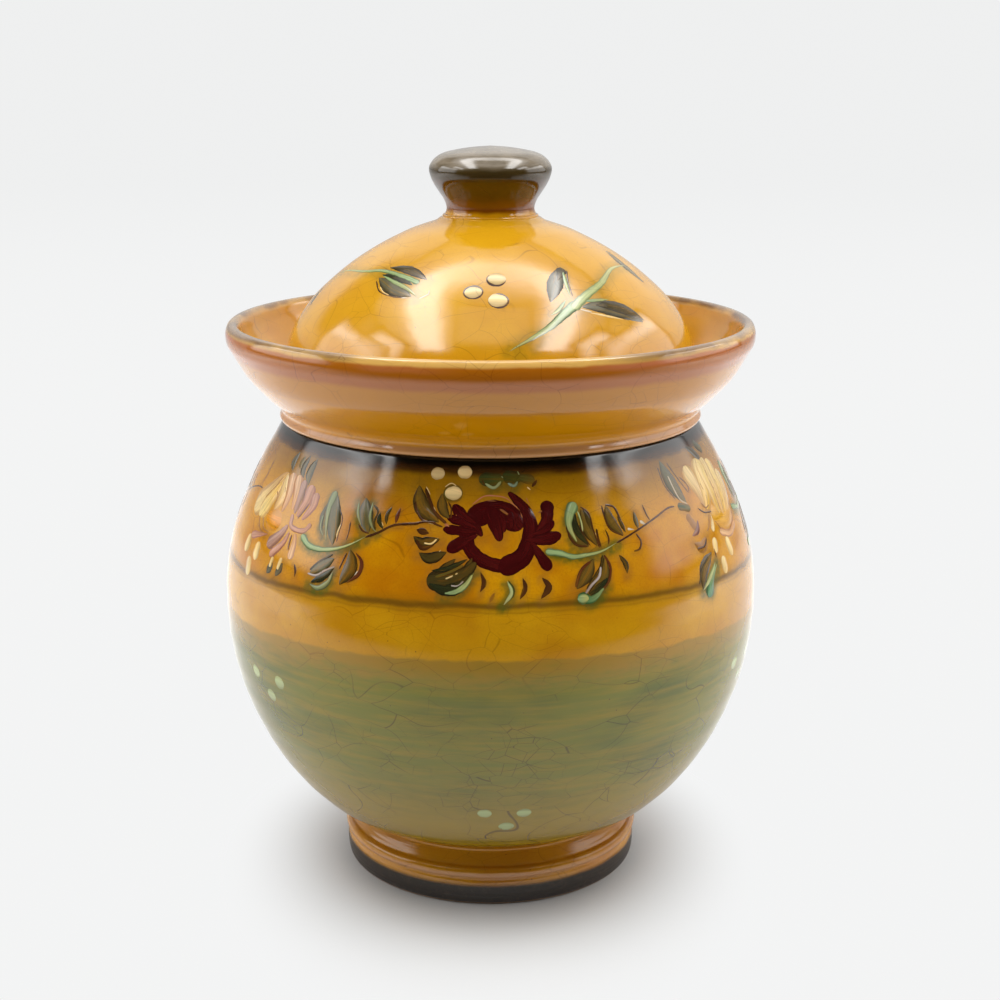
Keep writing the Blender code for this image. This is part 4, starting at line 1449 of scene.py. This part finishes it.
def side_table(outline, top_row):
    """Heights and radii of the outer wall, in rising order of height."""
    rows = outline[: top_row + 1]
    rows = rows[rows[:, 1] > SIDE_START]
    order = np.argsort(rows[:, 1])
    return rows[order, 1], rows[order, 0]


def collar_piece():
    mesh = turned_node("neck_flare", "neck_collar")
    points = mesh_points(mesh)
    outward = np.hypot(points[:, 0], points[:, 1]) - np.interp(points[:, 2], *NECK_MIDDLE)
    set_attribute(mesh, "inside", smooth_step(0.3, -0.3, outward))
    add_piece("neck_flare", mesh, collar_material(), "jar", "amber_glaze", "neck_collar")


def lid_piece():
    outline, is_ring = fine_outline("lid_dome")
    mesh = turned_mesh("lid_cover", outline, is_ring, SEGMENTS["lid_dome"])
    for name, values in lid_attributes(mesh_points(mesh)[:, :2]).items():
        set_attribute(mesh, name, values)
    add_piece("lid_cover", mesh, lid_material(), "lid", "amber_glaze", "lid_dome")
    paint_lid(outline)


def knob_piece():
    glaze = knob_material()
    mesh = turned_node("knob_top", "lid_knob")
    add_piece("knob_top", mesh, glaze, "lid", "knob_brown", "lid_knob")
    glaze_fillet("knob_glaze_fillet", *KNOB_FILLET, glaze, "lid", "knob_brown")


def foot_piece():
    glaze = foot_material()
    mesh = turned_node("foot_base", "foot_ring")
    add_piece("foot_base", mesh, glaze, "jar", "foot_brown", "foot_ring")
    glaze_fillet("foot_glaze_fillet", *FOOT_FILLET, glaze, "jar", "foot_brown")


def glaze_fillet(name, middle, radius, material, body, slot):
    """Glaze that fills the corner where two pieces meet: a ring with a round section, measured in mm."""
    turns = np.linspace(0.0, math.tau, FILLET_SIDES + 1)
    outline = np.stack([middle[0] + radius * np.cos(turns), middle[1] + radius * np.sin(turns)], axis=1)
    add_piece(name, turned_mesh(name, outline, True, FILLET_SEGMENTS), material, body, slot)


def locating_ring_piece():
    mesh = turned_node("lid_seat_ring", "lid_locating_ring")
    add_piece("lid_seat_ring", mesh, clay_material(), "lid", "bare_clay", "lid_locating_ring")


# The light tent, in metres, worked out from what the glaze reflects in the photograph.
BLACK = (0.0, 0.0, 0.0)
WHITE = (1.0, 1.0, 1.0)
FLOOR_SPREAD = 4.0
FLOOR_ALBEDO = 0.58
# In reflections the table is brightest here in front of the jar and behind it, and dark at the tent's front.
FLOOR_IN_GLAZE = 1.20
FLOOR_BEHIND = 0.35
TENT_FRONT = -0.47
TENT_LIT = 0.0
TENT_BACK = 0.30
# The table's colour is darkened round the foot by a painted shadow, narrowed from side to side and
# reaching farther towards the camera. It is deepest near the foot and gone where the backdrop takes over.
SHADOW_ACROSS = 1.15
SHADOW_FRONT = 0.8
SHADOW_DEEP = (0.032, 0.058)
SHADOW_DEPTH = 0.76
SHADOW_END = (0.040, 0.095)
BACKDROP_REACH = (0.5, 3.2)
BACKDROP_NEAR = (0.900, 0.905, 0.905)
BACKDROP_FAR = (0.862, 0.868, 0.868)
FRONT_DARK = 0.012
BACK_WHITE = 0.95
TOP_WHITE = 0.90
# Dark gaps between the tent's panels: direction, how wide (as cosines, inner and outer) and how dark.
TENT_GAPS = (
    ((-0.63, 0.51, 0.59), 0.985, 0.925, 0.10),
    ((0.61, 0.38, 0.69), 0.995, 0.965, 0.45),
)
LAMP_HEIGHT = 1.20
# The middle of the arched lamp, seen from above, with its width and how bright it is there: half of it.
LAMP_ARCH = (
    (0.0, 0.23, 0.67, 0.50),
    (0.245, 0.265, 0.60, 0.65),
    (0.46, 0.19, 0.575, 1.0),
    (0.525, -0.025, 0.575, 1.0),
    (0.57, -0.285, 0.575, 1.0),
    (0.66, -0.585, 0.60, 1.0),
    (0.76, -0.90, 0.62, 0.9),
)
# How bright the arched lamp is from one edge to the other: (place across, share).
LAMP_PROFILE = (
    (-1.0, 0.0), (-0.65, 0.3), (-0.35, 1.0), (0.35, 1.0), (0.65, 0.32), (1.0, 0.17), (1.5, 0.11), (1.9, 0.0),
)
ARCH_STEP = 0.07
LAMP_RIGHT = 0.027
LAMP_RADIANCE = 8.4
SIDE_LAMP_X = 0.45
# The bright side walls, as (from y, to y, radiance of the lower part).
LEFT_LAMP = (-0.24, 0.22, 2.1)
RIGHT_LAMP = (-0.20, 0.32, 1.8)
SIDE_LAMP_Z = (0.13, 0.51)
SIDE_LAMP_UPPER = (0.35, 0.42)
SIDE_LAMP_RADIANCE = 4.3
# How soft the side walls are at their front, back, lower and upper edges.
SIDE_LAMP_EDGES = ((0.10, 0.06), (0.08, 0.08))
# A soft patch in front of each side wall, for the milky light on the jar's shoulder.
WING_LAMP_Y = (-0.34, 0.0)
WING_LAMP_Z = (0.42, 0.66)
WING_LAMP_EDGES = ((0.10, 0.10), (0.10, 0.10))
WING_LAMP_RADIANCE = 5.0
# The lamps that light the unglossy share of the surfaces: where they are, how wide, and their watts.
TOP_FILL = ((0.0, -0.35, 1.3), 1.2, 17.0)
LEFT_FILL = ((-0.85, -0.05, 0.30), 0.8, 4.0)
RIGHT_FILL = ((0.85, -0.05, 0.30), 0.8, 4.0)
JAR_MIDDLE = Vector((0.0, 0.0, 0.1))
# A black card in front of the rim keeps the arched lamp's ends out of the shoulder's glaze.
CARD_INNER = 0.0755
CARD_OUTER = 0.106
CARD_HEIGHT = 0.166
CARD_HALF_TURN_DEG = 38.0
CARD_SIDES = 48


def floor_piece():
    """A pale table. Reflections of it darken towards the camera, and far off it fades into the backdrop."""
    shader = Shader("table_paper")
    place = shader.add("ShaderNodeNewGeometry", {}, output="Position")
    y = shader.part(place, 1)
    distance = shader.vector_math("LENGTH", place, output="Value")
    glossy = shader.add("ShaderNodeLightPath", {}, output="Is Glossy Ray")
    camera = shader.add("ShaderNodeLightPath", {}, output="Is Camera Ray")
    in_glaze = shader.plus(shader.ramp(y, TENT_FRONT, TENT_LIT, 0.0, FLOOR_IN_GLAZE),
                           shader.ramp(y, TENT_LIT, TENT_BACK, 0.0, FLOOR_BEHIND))
    x = shader.times(shader.part(place, 0), SHADOW_ACROSS)
    deep = shader.times(y, shader.ramp(y, -0.01, 0.01, SHADOW_FRONT, 1.0))
    away = shader.math("SQRT", shader.plus(shader.times(x, x), shader.times(deep, deep)))
    # A painted shadow: the table's colour is darkened round the foot.
    painted_shadow = shader.ramp(away, *SHADOW_DEEP, SHADOW_DEPTH)
    grey = shader.times(FLOOR_ALBEDO, shader.add("ShaderNodeMix", {0: glossy, 2: painted_shadow, 3: in_glaze}))
    shader.finish(shader.mix(grey, BLACK, WHITE), 0.9)
    shader.surface.inputs["Specular IOR Level"].default_value = 0.0
    backdrop = shader.mix(shader.ramp(distance, *BACKDROP_REACH), BACKDROP_NEAR, BACKDROP_FAR)
    backdrop = shader.add("ShaderNodeEmission", {"Color": backdrop, "Strength": 1.0})
    far = shader.times(shader.ramp(away, *SHADOW_END), camera)
    lit = shader.add("ShaderNodeMixShader", {0: far, 1: shader.surface.outputs[0], 2: backdrop})
    shader.links.new(lit, shader.nodes["Material Output"].inputs["Surface"])
    bpy.ops.mesh.primitive_circle_add(vertices=96, radius=FLOOR_SPREAD, fill_type="TRIFAN")
    table = bpy.context.object
    table.name = "table"
    table.data.materials.append(shader.material)


def world_light():
    """A white backdrop for the camera. The glaze sees a white back and top, a dark front and two gaps."""
    world = bpy.data.worlds.new("tent")
    bpy.context.scene.world = world
    shader = Shader.of_world(world)
    facing = shader.add("ShaderNodeTexCoord", {}, output="Generated")
    x, y, z = [shader.part(facing, axis) for axis in range(3)]
    back = shader.ramp(y, -0.45, 0.75, FRONT_DARK, BACK_WHITE)
    back = shader.times(back, shader.ramp(z, -0.05, 0.6, 0.6, 1.25))
    back = shader.times(back, shader.ramp(x, -0.8, 0.8, 0.8, 1.15))
    glow = shader.most(back, shader.ramp(z, 0.76, 0.88, 0.0, TOP_WHITE))
    for direction, inner, outer, left in TENT_GAPS:
        near = shader.vector_math("DOT_PRODUCT", facing, direction, output="Value")
        glow = shader.times(glow, shader.ramp(near, outer, inner, 1.0, left))
    camera = shader.add("ShaderNodeLightPath", {}, output="Is Camera Ray")
    colour = shader.mix(camera, shader.mix(glow, BLACK, WHITE), BACKDROP_FAR)
    shader.links.new(colour, shader.nodes["Background"].inputs["Color"])


def staged_sheet(name, points, faces, glow):
    """A sheet that only lights the scene and shows in the glaze. glow makes its strength."""
    mesh = bpy.data.meshes.new(name)
    mesh.from_pydata(points, [], faces)
    shader = Shader(name)
    light = shader.add("ShaderNodeEmission", {"Color": WHITE, "Strength": glow(shader)})
    shader.links.new(light, shader.nodes["Material Output"].inputs["Surface"])
    mesh.materials.append(shader.material)
    sheet = bpy.data.objects.new(name, mesh)
    bpy.context.scene.collection.objects.link(sheet)
    sheet.visible_camera = False
    sheet.visible_shadow = False
    return sheet


def strip_faces(rows, columns):
    """The faces of a sheet made of rows of points."""
    corners = [row * columns + column for row in range(rows - 1) for column in range(columns - 1)]
    return [(corner, corner + columns, corner + columns + 1, corner + 1) for corner in corners]


def arch_lamp():
    """The arched lamp overhead, open towards the camera, whose reflection is the arch on the lid."""
    knots = [(-x, *rest) for x, *rest in LAMP_ARCH[:0:-1]] + list(LAMP_ARCH)
    line = smooth_through(knots, ARCH_STEP)
    heading = np.gradient(line[:, :2], axis=0)
    heading /= np.linalg.norm(heading, axis=1)[:, None]
    across = np.stack([-heading[:, 1], heading[:, 0]], axis=1) * line[:, 2:3] / 2
    points = []
    glows = []
    for middle, side, bright in zip(line[:, :2], across, line[:, 3]):
        for place, share in LAMP_PROFILE:
            points.append((*(middle + side * place + (LAMP_RIGHT, 0.0)), LAMP_HEIGHT))
            glows.append(share * bright * LAMP_RADIANCE)
    faces = strip_faces(len(line), len(LAMP_PROFILE))
    lamp = staged_sheet("arch_lamp", points, faces, lambda shader: shader.attribute("glow"))
    set_attribute(lamp.data, "glow", glows)
    lamp.visible_diffuse = False
    # Only rays that bounce off the glaze find this lamp, so the black card can hide it from them.
    lamp.data.materials[0].cycles.emission_sampling = "NONE"


def wall_lamp(name, x, across, up, edges, radiance):
    """A bright part of the tent's wall with soft edges. radiance gives its strength from the height."""

    def glow(shader):
        place = shader.add("ShaderNodeNewGeometry", {}, output="Position")
        strength = radiance(shader, shader.part(place, 2))
        for axis, (low, high), (low_edge, high_edge) in ((1, across, edges[0]), (2, up, edges[1])):
            value = shader.part(place, axis)
            strength = shader.times(strength, shader.ramp(value, low, low + low_edge))
            strength = shader.times(strength, shader.ramp(value, high, high - high_edge))
        return strength

    points = [(x, y, z) for y in across for z in up]
    return staged_sheet(name, points, strip_faces(2, 2), glow)


def side_lamp(name, x, front, back, lower):
    """A bright side wall of the tent, brightest near its top."""
    wall_lamp(name, x, (front, back), SIDE_LAMP_Z, SIDE_LAMP_EDGES,
              lambda shader, z: shader.ramp(z, *SIDE_LAMP_UPPER, lower, SIDE_LAMP_RADIANCE))


def wing_lamp(name, x):
    """A soft bright patch of the tent's wall, in front of a side lamp, that only the glaze sees."""
    wing = wall_lamp(name, x, WING_LAMP_Y, WING_LAMP_Z, WING_LAMP_EDGES, lambda shader, z: WING_LAMP_RADIANCE)
    wing.visible_diffuse = False


def black_card():
    """A dark arc in front of the rim that only reflections see."""
    turns = np.radians(np.linspace(-90.0 - CARD_HALF_TURN_DEG, -90.0 + CARD_HALF_TURN_DEG, CARD_SIDES + 1))
    points = [(radius * math.cos(turn), radius * math.sin(turn), CARD_HEIGHT)
              for turn in turns for radius in (CARD_INNER, CARD_OUTER)]
    card = staged_sheet("black_card", points, strip_faces(len(turns), 2), lambda shader: 0.0)
    card.visible_diffuse = False


def soft_fill(name, place, size, power):
    """Even light for the unglossy share of the surfaces. It has no reflection of its own."""
    lamp = bpy.data.lights.new(name, "AREA")
    lamp.shape = "DISK"
    lamp.size = size
    lamp.energy = power
    fill = bpy.data.objects.new(name, lamp)
    fill.location = place
    fill.rotation_euler = (JAR_MIDDLE - Vector(place)).to_track_quat("-Z", "Y").to_euler()
    fill.visible_camera = False
    fill.visible_glossy = False
    bpy.context.scene.collection.objects.link(fill)


def light_tent():
    world_light()
    floor_piece()
    arch_lamp()
    black_card()
    side_lamp("left_lamp", -SIDE_LAMP_X, *LEFT_LAMP)
    side_lamp("right_lamp", SIDE_LAMP_X, *RIGHT_LAMP)
    soft_fill("top_fill", *TOP_FILL)
    wing_lamp("left_wing", -SIDE_LAMP_X)
    soft_fill("left_fill", *LEFT_FILL)
    wing_lamp("right_wing", SIDE_LAMP_X)
    soft_fill("right_fill", *RIGHT_FILL)


def camera():
    lens = bpy.data.cameras.new("camera")
    lens.sensor_width = 36.0
    lens.lens = CAMERA_LENS
    lens.shift_x = CAMERA_SHIFT_X
    view = bpy.data.objects.new("camera", lens)
    view.location = CAMERA_PLACE
    view.rotation_euler = (math.radians(CAMERA_TILT_DEG), 0.0, 0.0)
    bpy.context.scene.collection.objects.link(view)
    bpy.context.scene.camera = view


bpy.context.scene.view_settings.view_transform = "Standard"
bpy.context.scene.view_settings.look = "None"

bowl_piece()
collar_piece()
foot_piece()
lid_piece()
locating_ring_piece()
knob_piece()
light_tent()
camera()
